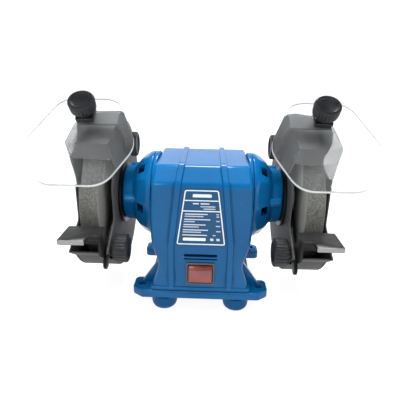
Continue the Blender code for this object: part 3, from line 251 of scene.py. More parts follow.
def circle(centre, radius, count=48):
    """Points round a circle."""
    turn = np.linspace(0, 2 * math.pi, count, endpoint=False)
    return np.stack([centre[0] + radius * np.cos(turn), centre[1] + radius * np.sin(turn)], axis=1)


def box_outline(low, high, radius):
    """A rectangle between two corners with eased corners."""
    return rounded([(low[0], low[1]), (high[0], low[1]), (high[0], high[1]), (low[0], high[1])], radius)


def bare(name, shells):
    """An object from closed shells, its faces turned outwards shell by shell."""
    points, faces, count = [], [], 0
    for shell_points, shell_faces in shells:
        points.append(shell_points)
        faces += [[corner + count for corner in face] for face in shell_faces]
        count += len(shell_points)
    mesh = bpy.data.meshes.new(name)
    mesh.from_pydata(np.concatenate(points).tolist(), [], faces)
    shape = bmesh.new()
    shape.from_mesh(mesh)
    bmesh.ops.remove_doubles(shape, verts=shape.verts, dist=1e-7)
    bmesh.ops.recalc_face_normals(shape, faces=shape.faces)
    shape.to_mesh(mesh)
    shape.free()
    item = bpy.data.objects.new(name, mesh)
    bpy.context.scene.collection.objects.link(item)
    return item


def carve(item, shells, operation="DIFFERENCE"):
    """Cut shells out of a piece, or join them to it, and keep the result as its mesh."""
    tool = bare("tool", shells)
    step = item.modifiers.new("carve", "BOOLEAN")
    step.operation = operation
    step.solver = "MANIFOLD"
    step.object = tool
    bpy.context.view_layer.update()
    result = bpy.data.meshes.new_from_object(item.evaluated_get(bpy.context.evaluated_depsgraph_get()))
    item.modifiers.clear()
    item.data = result
    bpy.data.objects.remove(tool)


def points_of(item):
    """The mesh points of a piece, a row each."""
    points = np.empty(len(item.data.vertices) * 3)
    item.data.vertices.foreach_get("co", points)
    return points.reshape(-1, 3)


def write_values(item, name, values):
    """One number for each mesh point of a piece, for its material to read."""
    item.data.attributes.new(name, "FLOAT", "POINT").data.foreach_set("value", values.astype(np.float32))


def settle(item, material, body, nodes, angle=40):
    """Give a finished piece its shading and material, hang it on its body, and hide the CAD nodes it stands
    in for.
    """
    item.data.shade_smooth()
    item.data.set_sharp_from_angle(angle=math.radians(angle))
    item.data.materials.clear()
    item.data.materials.append(material)
    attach(item, body)
    if nodes:
        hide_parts(*nodes)
    return item


def half_width(height):
    """The housing's half width, drawn in by a bell curve at the waist and a taper above the shaft."""
    waist = np.exp(-((height - 48 * mm) / (15 * mm)) ** 2)
    above = np.maximum(0, height - shaft_z) / (body_top - shaft_z)
    return body_half - waist_cut * waist - top_cut * above


def rib_centre(height):
    """Distance of a rib from the middle: close on the top, splaying down the front to the waist."""
    return np.interp(height, [69.5 * mm, body_top - chamfer_drop, body_top],
                     [26.5 * mm, 20.2 * mm, 18.2 * mm])


side_line = rounded([(-body_front, base_top - 3 * mm), (-body_front, body_top - chamfer_drop),
                     (-body_front + chamfer_depth, body_top), (body_front - chamfer_depth, body_top),
                     (body_front, body_top - chamfer_drop), (body_front, base_top - 3 * mm)], 4 * mm, 7)
lengths = np.concatenate([[0], np.cumsum(np.linalg.norm(np.diff(side_line, axis=0), axis=1))])
run = np.unique(np.concatenate([np.linspace(0, lengths[-1], 150), lengths]))
loop_y = np.interp(run, lengths, side_line[:, 0])
loop_z = np.interp(run, lengths, side_line[:, 1])
slope_y, slope_z = np.gradient(loop_y, run), np.gradient(loop_z, run)
out_y, out_z = -slope_z / np.hypot(slope_y, slope_z), slope_y / np.hypot(slope_y, slope_z)
rib_half, rib_ease, rib_proud, edge = 2.2 * mm, 1.0 * mm, 1.9 * mm, 3.2 * mm
centre_line = rib_centre(loop_z)
widest = half_width(loop_z)
beside = centre_line + rib_half + rib_ease
on_front = loop_y < 0
groove = (-0.9 * mm * np.clip((loop_z - 70 * mm) / (3 * mm), 0, 1)
          * np.clip((body_top - 11 * mm - loop_z) / mm, 0, 1) * on_front)
low_slit = (-0.8 * mm * np.clip((loop_z - 31 * mm) / mm, 0, 1)
            * np.clip((42 * mm - loop_z) / mm, 0, 1) * on_front)
marks = [(np.zeros_like(run), 0.0)]
marks += [(centre_line - rib_half - rib_ease - side_step, low_slit * deep)
          for side_step, deep in ((1.0 * mm, 0), (0.9 * mm, 1), (0.4 * mm, 1), (0.3 * mm, 0))]
marks += [(centre_line - rib_half - rib_ease * (1 - t), rib_proud * (3 * t * t - 2 * t ** 3))
          for t in np.linspace(0, 1, 6)]
marks += [(centre_line + rib_half + rib_ease * t, rib_proud * (1 - (3 * t * t - 2 * t ** 3)))
          for t in np.linspace(0, 1, 6)]
marks += [(beside + side_step, (groove + low_slit) * deep)
          for side_step, deep in ((0.3 * mm, 0), (0.4 * mm, 1), (1.1 * mm, 1), (1.2 * mm, 0))]
marks += [(widest - edge, 0.0)]
marks += [(widest - edge * (1 - math.sin(t)), -edge * (1 - math.cos(t)))
          for t in np.linspace(0, math.pi / 2, 6)[1:]]
strip = np.array([np.stack([x, loop_y + out_y * proud, loop_z + out_z * proud], axis=1)
                  for x, proud in marks])
middle = np.array([0.0, 80 * mm])
inner_rows = []
for share in (0.96, 0.85, 0.7, 0.5, 0.3, 0.1):
    flat = middle + (strip[-1][:, 1:] - middle) * share
    inner_rows.append(np.column_stack([half_width(flat[:, 1]), flat]))
right_half = np.concatenate([strip, inner_rows])
left_half = right_half[:0:-1] * np.array([-1, 1, 1])
body_rows = np.concatenate([left_half, right_half]) + np.array([0, shaft_y, 0])
housing = bare("housing_casting", [tube(body_rows)])

foot_half = float(half_width(base_top))
ear_reach, ear_depth, ear_chamfer = 63.3 * mm, 24 * mm, 9 * mm
plan_front = body_front + 1 * mm
ear_front = body_front + 0.6 * mm
quarter = np.array([(foot_half + 5 * mm, ear_front - ear_depth),
                    (ear_reach - 3 * mm, ear_front - ear_depth),
                    (ear_reach, ear_front - ear_depth + 3 * mm),
                    (ear_reach, ear_front - ear_chamfer * 0.75),
                    (ear_reach - ear_chamfer, ear_front), (ear_reach - ear_chamfer - 3 * mm, ear_front)])
plan = np.concatenate([quarter, quarter[::-1] * (-1, 1), quarter * (-1, -1), quarter[::-1] * (1, -1)])
plan = rounded(plan, 1.6 * mm, 4) + np.array([0, shaft_y])
base = slab(plan, base_bottom, ear_top + 0.4 * mm, 1.2 * mm, 2)
carve(housing, [base], "UNION")
ledges = []
for reach, low, high in ((plan_front, base_bottom + 0.4 * mm, ear_top - 1.5 * mm),
                         (plan_front - 1.6 * mm, ear_top - 2 * mm, ear_top + 2.0 * mm),
                         (plan_front - 0.4 * mm, ear_top + 1.7 * mm, base_top - 0.6 * mm)):
    half = foot_half + (5 * mm if low < ear_top - 3 * mm else 2 * mm)
    ledge = box_outline((-half, shaft_y - reach), (half, shaft_y + reach), 2.5 * mm)
    ledges.append(slab(ledge, low, high, 0.9 * mm, 2))
for ledge in ledges:
    carve(housing, [ledge], "UNION")
webs = []
for hand_x in (-1, 1):
    for hand_y in (-1, 1):
        web_y = shaft_y + hand_y * (ear_front - ear_depth + 6 * mm)
        web = [(ear_reach - 7 * mm, ear_top), (body_half - waist_cut - 0.5 * mm, 48 * mm),
               (body_half - 14 * mm, 48 * mm),
               (foot_half - 10 * mm, ear_top - 3 * mm), (ear_reach - 7 * mm, ear_top - 3 * mm)]
        outline = rounded(np.array(web) * (hand_x, 1), 1.5 * mm, 4)
        webs.append(slab(outline, web_y - 2.6 * mm, web_y + 2.6 * mm, 1 * mm, 1))
carve(housing, webs, "UNION")
ring = circle((shaft_y, shaft_z), collar_radius, 96)
collars = [slab(ring, *between(hand, body_half - top_cut - 0.3 * mm, body_half + 0.6 * mm), 0.4 * mm, 0)
           for side, hand in hands]
carve(housing, collars, "UNION")
bore = slab(circle((shaft_y, shaft_z), stator_radius + gap, 96), -60 * mm, 60 * mm, 0.1 * mm, 0)
carve(housing, [bore])
inside = body_front - front_wall
cavity = box_outline((-cavity_half, shaft_y - inside), (cavity_half, shaft_y + inside), 2 * mm)
recess = box_outline((-cavity_half - 2 * mm, shaft_y - inside - 2 * mm),
                     (cavity_half + 2 * mm, shaft_y + inside + 2 * mm), 0.3 * mm)
carve(housing, [slab(cavity, 5 * mm, 62 * mm, 0.1 * mm, 2)])
carve(housing, [slab(recess, 4 * mm, base_bottom + 2.1 * mm, 0.1 * mm, 2)])
holes = [slab(circle((hand_x * (ear_reach - 8 * mm),
                      shaft_y + hand_y * (body_front - ear_depth / 2 + 1 * mm)), bolt_hole, 32),
              5 * mm, 30 * mm, 0.1 * mm, 2) for hand_x in (-1, 1) for hand_y in (-1, 1)]
holes += [slab(circle((hand_x * 34 * mm, shaft_y + hand_y * 41 * mm), stem_hole, 24), 5 * mm,
               base_bottom + 6 * mm, 0.1 * mm, 2)
          for hand_x in (-1, 1) for hand_y in (-1, 1)]
carve(housing, holes)
openings = []
for height, depth in ((55.2 * mm, 1.5 * mm), (58.8 * mm, 2.8 * mm)):
    for hand_y in (-1, 1):
        slot_line = box_outline((-15 * mm, height - depth / 2), (15 * mm, height + depth / 2), depth * 0.45)
        ends = sorted((shaft_y + hand_y * (inside - 3 * mm), shaft_y + hand_y * (body_front + 5 * mm)))
        openings.append(slab(slot_line, *ends, 0.1 * mm, 1))
switch_low, switch_high = (np.array(corner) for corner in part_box("switch_frame"))
rim = 0.8 * mm - gap
hole = box_outline((switch_low[0] + rim, switch_low[2] + rim), (switch_high[0] - rim, switch_high[2] - rim),
                   0.6 * mm)
openings.append(slab(hole, shaft_y - body_front - 5 * mm, shaft_y - inside + 3 * mm, 0.1 * mm, 1))
gland_low, gland_high = (np.array(corner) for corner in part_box("cable_gland"))
gland_z = (gland_low[2] + gland_high[2]) / 2
openings.append(slab(circle((0, gland_z), 5.8 * mm, 32), shaft_y + inside - 3 * mm,
                     shaft_y + body_front + 5 * mm, 0.1 * mm, 1))
carve(housing, openings)

blue_enamel, tree, shader = principled("gloss_blue_enamel", (0.002, 0.093, 0.26), 0.24)
shader.inputs["Coat Weight"].default_value = 0.3
shader.inputs["Coat Roughness"].default_value = 0.08
shader.inputs["Specular IOR Level"].default_value = 0.1
drift = noise(tree, 22, 4.0)
tinge(tree, shader, drift, [(0.3, (0.001, 0.082, 0.232)), (0.7, (0.002, 0.104, 0.285))])
polish(tree, shader, noise(tree, 60, 5.0), 0.18, 0.32)
relief(tree, shader, noise(tree, 320, 2.0), 0.05 * mm, 0.6)
relief(tree, shader, noise(tree, 1400, 2.0), 0.012 * mm, 0.6)
settle(housing, blue_enamel, "frame", ["motor_housing"], 32)

# ---- End bells --------------------------------------------------------------------------
# Cast covers on both ends of the motor, in the same enamel.  Each draws in from the housing to
# a bearing neck, with cooling windows round the shoulder and three screw lugs along the neck.
def turned(profile, segments=96, ring=True, flats=None):
    """(x, radius) points turned about the shaft line; a ring's profile closes on itself, and flats,
    a weight per point, draws the circle in towards a polygon of ten sides."""
    profile = np.asarray(profile, float)
    turn = np.linspace(0, 2 * math.pi, segments, endpoint=False)
    x = np.repeat(profile[:, :1], segments, axis=1)
    half_side = math.pi / 10
    polygon = math.cos(half_side) / np.cos(np.mod(turn, 2 * half_side) - half_side)
    weight = np.zeros(len(profile)) if flats is None else flats
    radii = profile[:, 1:] * (1 - weight[:, None] * (1 - polygon))
    y = shaft_y + radii * np.cos(turn)
    z = shaft_z + radii * np.sin(turn)
    return tube(np.stack([x, y, z], axis=-1), ring)


def flip(profile, hand):
    """An (x, radius) profile for one hand, right as given and left mirrored."""
    return np.asarray(profile, float) * (hand, 1)


bell_low, bell_high = (np.array(corner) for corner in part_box("right_end_bell"))
bell_length = bell_high[0] - bell_low[0]
neck = 25.5 * mm
for side, hand in hands:
    shares = np.array([(0.0, 0.985), (0.02, 1.0), (0.18, 0.985), (0.35, 0.92), (0.5, 0.83), (0.6, 0.735),
                       (0.66, 0.65)])
    outer = np.column_stack([bell_low[0] + shares[:, 0] * bell_length, shares[:, 1] * collar_radius])
    outer = np.concatenate([outer, [(bell_high[0] - 1.2 * mm, neck + 0.4 * mm),
                                    (bell_high[0], neck - 0.8 * mm)]])
    inner = np.array([(bell_high[0], 9.3 * mm), (bell_high[0] - 2.3 * mm, 9.3 * mm),
                      (bell_high[0] - 2.3 * mm, 16.3 * mm),
                      (bell_high[0] - 12.9 * mm, 16.3 * mm), (bell_high[0] - 15 * mm, 27 * mm),
                      (bell_low[0] + 5 * mm, 34.5 * mm), (bell_low[0], 35.5 * mm)])
    outline = rounded(np.concatenate([outer, inner]), 1.3 * mm, 4)
    along = (outline[:, 0] - bell_low[0]) / bell_length
    on_shoulder = outline[:, 1] > 0.62 * collar_radius
    flats = 0.85 * np.clip((along - 0.1) / 0.15, 0, 1) * np.clip((0.68 - along) / 0.08, 0, 1) * on_shoulder
    bell = bare(side + "_bell_casting", [turned(flip(outline, hand), 160, True, flats)])
    lugs = []
    for index in range(3):
        angle = math.radians(5 + 120 * index)
        spot = (shaft_y - math.cos(angle) * (neck + 1.5 * mm),
                shaft_z + math.sin(angle) * (neck + 1.5 * mm))
        ends = between(hand, bell_low[0] + 0.32 * bell_length, bell_high[0] - 2 * mm)
        lugs.append(slab(circle(spot, 4.2 * mm, 32), *ends, 1 * mm, 0))
    carve(bell, lugs, "UNION")
    windows = []
    for index in range(6):
        angle = math.radians(35 + 60 * index)
        spot = hand * (bell_low[0] + 0.36 * bell_length)
        points, faces = slab(box_outline((spot - 3 * mm, -4.5 * mm), (spot + 3 * mm, 4.5 * mm), 1.5 * mm),
                             0.62 * collar_radius, 1.2 * collar_radius, 0.1 * mm, 2)
        y, z = points[:, 1].copy(), points[:, 2].copy()
        points[:, 1] = shaft_y + y * math.cos(angle) - z * math.sin(angle)
        points[:, 2] = shaft_z + y * math.sin(angle) + z * math.cos(angle)
        windows.append((points, faces))
    carve(bell, windows)
    settle(bell, blue_enamel, "frame", [side + "_end_bell"], 35)

# ---- Feet -------------------------------------------------------------------------------
# Four moulded feet in the housing's colour, pushed into the base by a stem.  Soft edges and a
# dull skin against the gloss of the casting.
foot_skin, tree, shader = principled("blue_foot_moulding", (0.003, 0.07, 0.2), 0.42)
shader.inputs["Specular IOR Level"].default_value = 0.12
polish(tree, shader, noise(tree, 150, 4.0), 0.32, 0.5)
relief(tree, shader, noise(tree, 1800, 2.0), 0.04 * mm, 0.5)
for front, hand_y in (("front", -1), ("rear", 1)):
    for side, hand in hands:
        low, high = (np.array(corner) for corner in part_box(f"{side}_{front}_foot"))
        centre = (low + high) / 2
        radius = (high[0] - low[0]) / 2
        line = [(0.1 * mm, 0), (radius - 3.4 * mm, 0), (radius - 0.9 * mm, 2.2 * mm), (radius, 5.5 * mm),
                (radius, base_bottom - gap), (3 * mm, base_bottom - gap), (3 * mm, high[2]),
                (0.1 * mm, high[2])]
        line = rounded(line, [0, 2.5 * mm, 2 * mm, 2 * mm, 0.6 * mm, 0.3 * mm, 0.5 * mm, 0], 5)
        turn = np.linspace(0, 2 * math.pi, 64, endpoint=False)
        x = centre[0] + line[:, :1] * np.cos(turn)
        y = centre[1] + line[:, :1] * np.sin(turn)
        points = np.stack([x, y, np.repeat(line[:, 1:], 64, axis=1)], axis=-1)
        foot = bare(f"{side}_{front}_foot_moulding", [tube(points)])
        settle(foot, foot_skin, "frame", [f"{side}_{front}_foot"])

# ---- Power switch -----------------------------------------------------------------------
# A snap-in rocker switch: a smoke grey nylon frame over the hole in the front, and a translucent red
# rocker hollowed like a shallow V, pushed in at its lower end when off.
nylon, tree, shader = principled("grey_nylon", (0.11, 0.105, 0.1), 0.36)
shader.inputs["Specular IOR Level"].default_value = 0.2
polish(tree, shader, noise(tree, 240, 4.0), 0.28, 0.46)
relief(tree, shader, noise(tree, 3000, 2.0), 0.03 * mm, 0.5)
face = shaft_y - body_front - gap
lip = 0.8 * mm
wall = 0.9 * mm
edge_line = box_outline((switch_low[0], switch_low[2]), (switch_high[0], switch_high[2]), 0.9 * mm)
holder = bare("switch_bezel", [slab(edge_line, switch_low[1], face, 0.55 * mm, 1)])
body_line = box_outline((switch_low[0] + lip, switch_low[2] + lip),
                        (switch_high[0] - lip, switch_high[2] - lip), 0.5 * mm)
carve(holder, [slab(body_line, face - 0.5 * mm, switch_high[1], 0.2 * mm, 1)], "UNION")
brim = lip + wall
well = ((switch_low[0] + brim, switch_low[2] + brim), (switch_high[0] - brim, switch_high[2] - brim))
well_line = box_outline(*well, 0.4 * mm)
carve(holder, [slab(well_line, switch_low[1] - 5 * mm, switch_high[1] - wall, 0.1 * mm, 1)])
flare = [(0.8 * mm, -1.0 * mm), (0.8 * mm, 0.1 * mm), (0.0, 1.1 * mm), (-0.3 * mm, 1.4 * mm)]
rings = [np.insert(inset(well_line, -grow), 1, switch_low[1] + deep, axis=1) for grow, deep in flare]
carve(holder, [tube(np.array(rings))])
settle(holder, nylon, "frame", ["switch_frame"], 30)

red_shell, tree, shader = principled("translucent_red_rocker", (0.3, 0.055, 0.05), 0.2)
shader.inputs["Subsurface Weight"].default_value = 0.15
shader.inputs["Subsurface Radius"].default_value = (0.004, 0.001, 0.001)
shader.inputs["Subsurface Scale"].default_value = 1.0
shader.inputs["Coat Weight"].default_value = 0.1
cloud = noise(tree, 90, 3.0)
tinge(tree, shader, cloud, [(0.3, (0.19, 0.048, 0.046)), (0.7, (0.28, 0.068, 0.06))])
relief(tree, shader, noise(tree, 1800, 2.0), 0.02 * mm, 0.5)
rocker_low, rocker_high = (np.array(corner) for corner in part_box("switch_rocker"))
centre_z = (well[0][1] + well[1][1]) / 2
half_z = (well[1][1] - well[0][1]) / 2 - gap
front = switch_low[1]
bow = np.array([(front - 0.2 * mm, half_z * 0.62), (front - 2.2 * mm, half_z * 0.5),
                (front - 1.3 * mm, half_z * 0.1),
                (front - 1.3 * mm, -half_z * 0.35), (front - 2.0 * mm, -half_z * 0.86),
                (front + 2.5 * mm, -half_z * 0.9), (front + 5.5 * mm, -half_z * 0.6), (front + 6.5 * mm, 0),
                (front + 5.5 * mm, half_z * 0.6), (front + 3.5 * mm, half_z * 0.9),
                (front + 1.4 * mm, half_z * 0.9)])
bow = rounded(bow + (0, centre_z), [1 * mm, 1.2 * mm, 3 * mm, 3 * mm, 0.8 * mm] + [1 * mm] * 6, 6)
rocker = bare("rocker_shell", [slab(bow, rocker_low[0], rocker_high[0], 0.7 * mm, 0)])
settle(rocker, red_shell, "switch_rocker", ["switch_rocker"], 40)

# ---- Rating plate -----------------------------------------------------------------------
# A printed foil plate glued between the ribs: wider at its foot, a white keyline round a blue
# panel, with rows of generic line marks and bars in place of any lettering.
label_low, label_high = (np.array(corner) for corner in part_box("rating_plate"))
label_half = ((label_high[0] - label_low[0]) / 2, 14.5 * mm)
label_height = label_high[2] - label_low[2]


def on_label(points):
    """Plate coordinates, across from -1 to 1 and up from 0 to 1, as x and z."""
    points = np.asarray(points, float)
    half = label_half[0] + (label_half[1] - label_half[0]) * points[:, 1]
    return np.stack([points[:, 0] * half, label_low[2] + points[:, 1] * label_height], axis=1)


printed, tree, shader = principled("printed_foil", (0.02, 0.1, 0.25), 0.32)
shader.inputs["Specular IOR Level"].default_value = 0.2
ink = tree.nodes.new("ShaderNodeAttribute")
ink.attribute_name = "ink"
panel = tree.nodes.new("ShaderNodeMix")
panel.data_type = "RGBA"
tree.links.new(ink.outputs["Fac"], panel.inputs["Factor"])
faded = ramp(tree, noise(tree, 70, 4.0), [(0.3, (0.012, 0.07, 0.17)), (0.7, (0.018, 0.085, 0.2))])
tree.links.new(faded, panel.inputs["A"])
worn = ramp(tree, noise(tree, 160, 4.0), [(0.3, (0.78, 0.84, 0.88)), (0.7, (0.9, 0.94, 0.97))])
tree.links.new(worn, panel.inputs["B"])
tree.links.new(panel.outputs["Result"], shader.inputs["Base Color"])
polish(tree, shader, noise(tree, 300, 3.0), 0.26, 0.4)
relief(tree, shader, noise(tree, 2200, 2.0), 0.015 * mm, 0.5)
plate_line = rounded(on_label([(-1, 0), (1, 0), (1, 1), (-1, 1)]), 2.4 * mm, 6)
shells = [slab(plate_line, label_low[1], label_high[1], 0.12 * mm, 1)]
inks = [0.0]


def mark(outline, strength=1.0):
    """One printed mark, standing 0.03 mm proud of the foil."""
    shells.append(slab(outline, label_low[1] - 0.03 * mm, label_low[1] + 0.1 * mm, 0.005 * mm, 1, 2))
    inks.append(strength)


outer = rounded(on_label([(-0.98, 0.012), (0.98, 0.012), (0.975, 0.988), (-0.975, 0.988)]), 2.0 * mm, 6)
inner = inset(outer, 0.95 * mm)
rows = [np.insert(line, 1, depth, axis=1) for line, depth in
        ((outer, label_low[1] + 0.1 * mm), (outer, label_low[1] - 0.03 * mm),
         (inner, label_low[1] - 0.03 * mm),
         (inner, label_low[1] + 0.1 * mm))]
shells.append(tube(np.array(rows), True))
inks.append(1.0)
for low, high in ((0.615, 0.632), (0.8, 0.816)):
    mark(on_label([(-0.93, low), (0.93, low), (0.93, high), (-0.93, high)]))
mark(rounded(on_label([(-0.5, 0.865), (0.55, 0.865), (0.55, 0.92), (-0.5, 0.92)]), 0.9 * mm, 5), 0.9)
for left, right, level, ink_share in ((-0.45, -0.15, 0.755, 0.9), (-0.05, 0.4, 0.755, 0.9),
                                      (-0.05, 0.7, 0.705, 0.6),
                                      (0.1, 0.7, 0.665, 0.6), (-0.8, 0.3, 0.57, 0.75),
                                      (-0.8, 0.1, 0.53, 0.6), (-0.8, 0.42, 0.475, 0.75),
                                      (-0.8, -0.3, 0.435, 0.6), (-0.8, 0.2, 0.38, 0.75),
                                      (-0.8, -0.1, 0.34, 0.6), (-0.8, 0.3, 0.285, 0.75),
                                      (-0.8, 0.0, 0.245, 0.6), (-0.8, 0.25, 0.19, 0.75),
                                      (0.72, 0.85, 0.57, 0.6), (0.72, 0.85, 0.53, 0.6),
                                      (0.7, 0.85, 0.45, 0.6), (0.66, 0.85, 0.36, 0.6),
                                      (0.66, 0.85, 0.265, 0.6), (0.5, 0.62, 0.19, 0.6)):
    mark(on_label([(left, level - 0.009), (right, level - 0.009), (right, level + 0.009),
                   (left, level + 0.009)]), ink_share)
mark(rounded(on_label([(-0.75, 0.085), (0.2, 0.085), (0.2, 0.14), (-0.75, 0.14)]), 0.8 * mm, 5))
for left, right in ((0.38, 0.52), (0.64, 0.78)):
    mark(rounded(on_label([(left, 0.09), (right, 0.09), (right, 0.135), (left, 0.135)]), 0.5 * mm, 4), 0.7)
label = bare("rating_plate_foil", shells)
write_values(label, "ink", np.repeat(inks, [len(points) for points, faces in shells]))
settle(label, printed, "frame", ["rating_plate"], 30)

# ---- Cable gland ------------------------------------------------------------------------
# The moulded rubber bush where the mains lead leaves the back: a flange against the casting
# and a ribbed, tapering sleeve.
soft_rubber, tree, shader = principled("black_rubber", (0.014, 0.014, 0.015), 0.55)
polish(tree, shader, noise(tree, 200, 4.0), 0.45, 0.65)
relief(tree, shader, noise(tree, 2500, 2.0), 0.05 * mm, 0.5)
back = shaft_y + body_front + gap
line = [(gland_low[1], 2.5 * mm), (gland_low[1], 5.4 * mm), (back, 5.4 * mm), (back, 8 * mm),
        (back + 2.4 * mm, 8 * mm),
        (back + 3.2 * mm, 5.6 * mm)]
for ring_index in range(3):
    start = back + 3.8 * mm + ring_index * 1.7 * mm
    line += [(start, (5.6 - 0.35 * ring_index) * mm), (start + 0.9 * mm, (5.5 - 0.35 * ring_index) * mm),
             (start + 0.95 * mm, (4.7 - 0.35 * ring_index) * mm),
             (start + 1.6 * mm, (4.65 - 0.35 * ring_index) * mm)]
line += [(gland_high[1], 4.1 * mm), (gland_high[1], 2.5 * mm)]
line = rounded(np.array(line), 0.4 * mm, 3)
turn = np.linspace(0, 2 * math.pi, 48, endpoint=False)
points = np.stack([line[:, 1:] * np.cos(turn), np.repeat(line[:, :1], 48, axis=1),
                   gland_z + line[:, 1:] * np.sin(turn)], axis=-1)
gland = bare("cable_gland_rubber", [tube(points, True)])
settle(gland, soft_rubber, "frame", ["cable_gland"], 35)

# ---- Mounting rings ---------------------------------------------------------------------
# A black painted steel ring clamps each guard's wall against the end of the bell.
black_paint, tree, shader = principled("black_painted_steel", (0.012, 0.0125, 0.014), 0.34, 0.1)
shader.inputs["Specular IOR Level"].default_value = 0.15
blotches = noise(tree, 60, 5.0)
tinge(tree, shader, blotches, [(0.3, (0.003, 0.0035, 0.004)), (0.75, (0.008, 0.0085, 0.0095))])
polish(tree, shader, noise(tree, 180, 4.0), 0.26, 0.46)
relief(tree, shader, noise(tree, 900, 3.0), 0.04 * mm, 0.6)
ring_low, ring_high = (np.array(corner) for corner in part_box("right_mounting_ring"))
ring_radius = (ring_high[2] - ring_low[2]) / 2
for side, hand in hands:
    line = rounded([(ring_low[0], 10 * mm), (ring_low[0], ring_radius), (ring_high[0], ring_radius),
                    (ring_high[0], 10 * mm)], 0.7 * mm, 5)
    settle(bare(side + "_clamp_ring", [turned(flip(line, hand))]), black_paint, "frame",
           [side + "_mounting_ring"], 35)

# ---- Wheel flanges and nuts -------------------------------------------------------------
# Turned and zinc-plated steel: a flange with its hub on each side of the wheel, relieved so
# that only the rim grips, and a chamfered hexagon nut at the spindle's end.
zinc, tree, shader = principled("zinc_plated_steel", (0.45, 0.45, 0.44), 0.34, 1.0)
marks = noise(tree, 900, 2.0, (6, 0.5, 0.5))
tinge(tree, shader, noise(tree, 120, 5.0), [(0.3, (0.34, 0.34, 0.33)), (0.7, (0.52, 0.52, 0.5))])
polish(tree, shader, marks, 0.24, 0.5)
relief(tree, shader, marks, 0.03 * mm)
spindle_bore = 6.3 * mm
for side, hand in hands:
    low, high = (np.array(corner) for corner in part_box("right_inner_flange"))
    radius = (high[2] - low[2]) / 2
    line = [(low[0], spindle_bore), (low[0], 8.5 * mm), (high[0] - 5 * mm, 8.5 * mm),
            (high[0] - 2 * mm, 12.5 * mm),
            (high[0] - 2 * mm, radius), (high[0], radius), (high[0], radius - 4 * mm),
            (high[0] - 0.5 * mm, radius - 4.5 * mm),
            (high[0] - 0.5 * mm, spindle_bore)]
    line = rounded(line, [0.2 * mm, 0.3 * mm, 1 * mm, 1 * mm, 0.4 * mm, 0.3 * mm, 0.2 * mm, 0.2 * mm,
                          0.2 * mm], 4)
    settle(bare(side + "_hub_flange", [turned(flip(line, hand))]), zinc, "spindle",
           [side + "_inner_flange"], 30)
    low, high = (np.array(corner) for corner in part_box("right_outer_flange"))
    line = [(low[0] + 0.5 * mm, spindle_bore), (low[0] + 0.5 * mm, radius - 4.5 * mm),
            (low[0], radius - 4 * mm), (low[0], radius),
            (low[0] + 1 * mm, radius), (high[0] - 0.5 * mm, radius - 2.5 * mm), (high[0], radius - 4 * mm),
            (high[0], spindle_bore)]
    line = rounded(line, 0.3 * mm, 4)
    settle(bare(side + "_clamp_flange", [turned(flip(line, hand))]), zinc, "spindle",
           [side + "_outer_flange"], 30)
    low, high = (np.array(corner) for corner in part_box("right_wheel_nut"))
    across = 19 * mm / math.sqrt(3)
    turn = np.linspace(0, 2 * math.pi, 96, endpoint=False)
    face_reach = across * math.cos(math.pi / 6) / np.cos((turn + math.pi / 6) % (math.pi / 3) - math.pi / 6)
    levels = [(0, 0.905), (0.18, 0.955), (0.4, 1.1), (0.6, 1.1), (0.82, 0.955), (1, 0.905)]
    rows = []
    for share, limit in levels:
        radius_row = np.minimum(face_reach, limit * across)
        rows.append(np.stack([np.full(96, hand * (low[0] + share * (high[0] - low[0]))),
                              shaft_y + radius_row * np.cos(turn),
                              shaft_z + radius_row * np.sin(turn)], axis=1))
    for share in (1, 0):
        rows.append(np.stack([np.full(96, hand * (low[0] + share * (high[0] - low[0]))),
                              shaft_y + spindle_bore * np.cos(turn),
                              shaft_z + spindle_bore * np.sin(turn)], axis=1))
    nut = bare(side + "_hexagon_nut", [tube(np.array(rows), True)])
    settle(nut, zinc, "spindle", [side + "_wheel_nut"], 25)
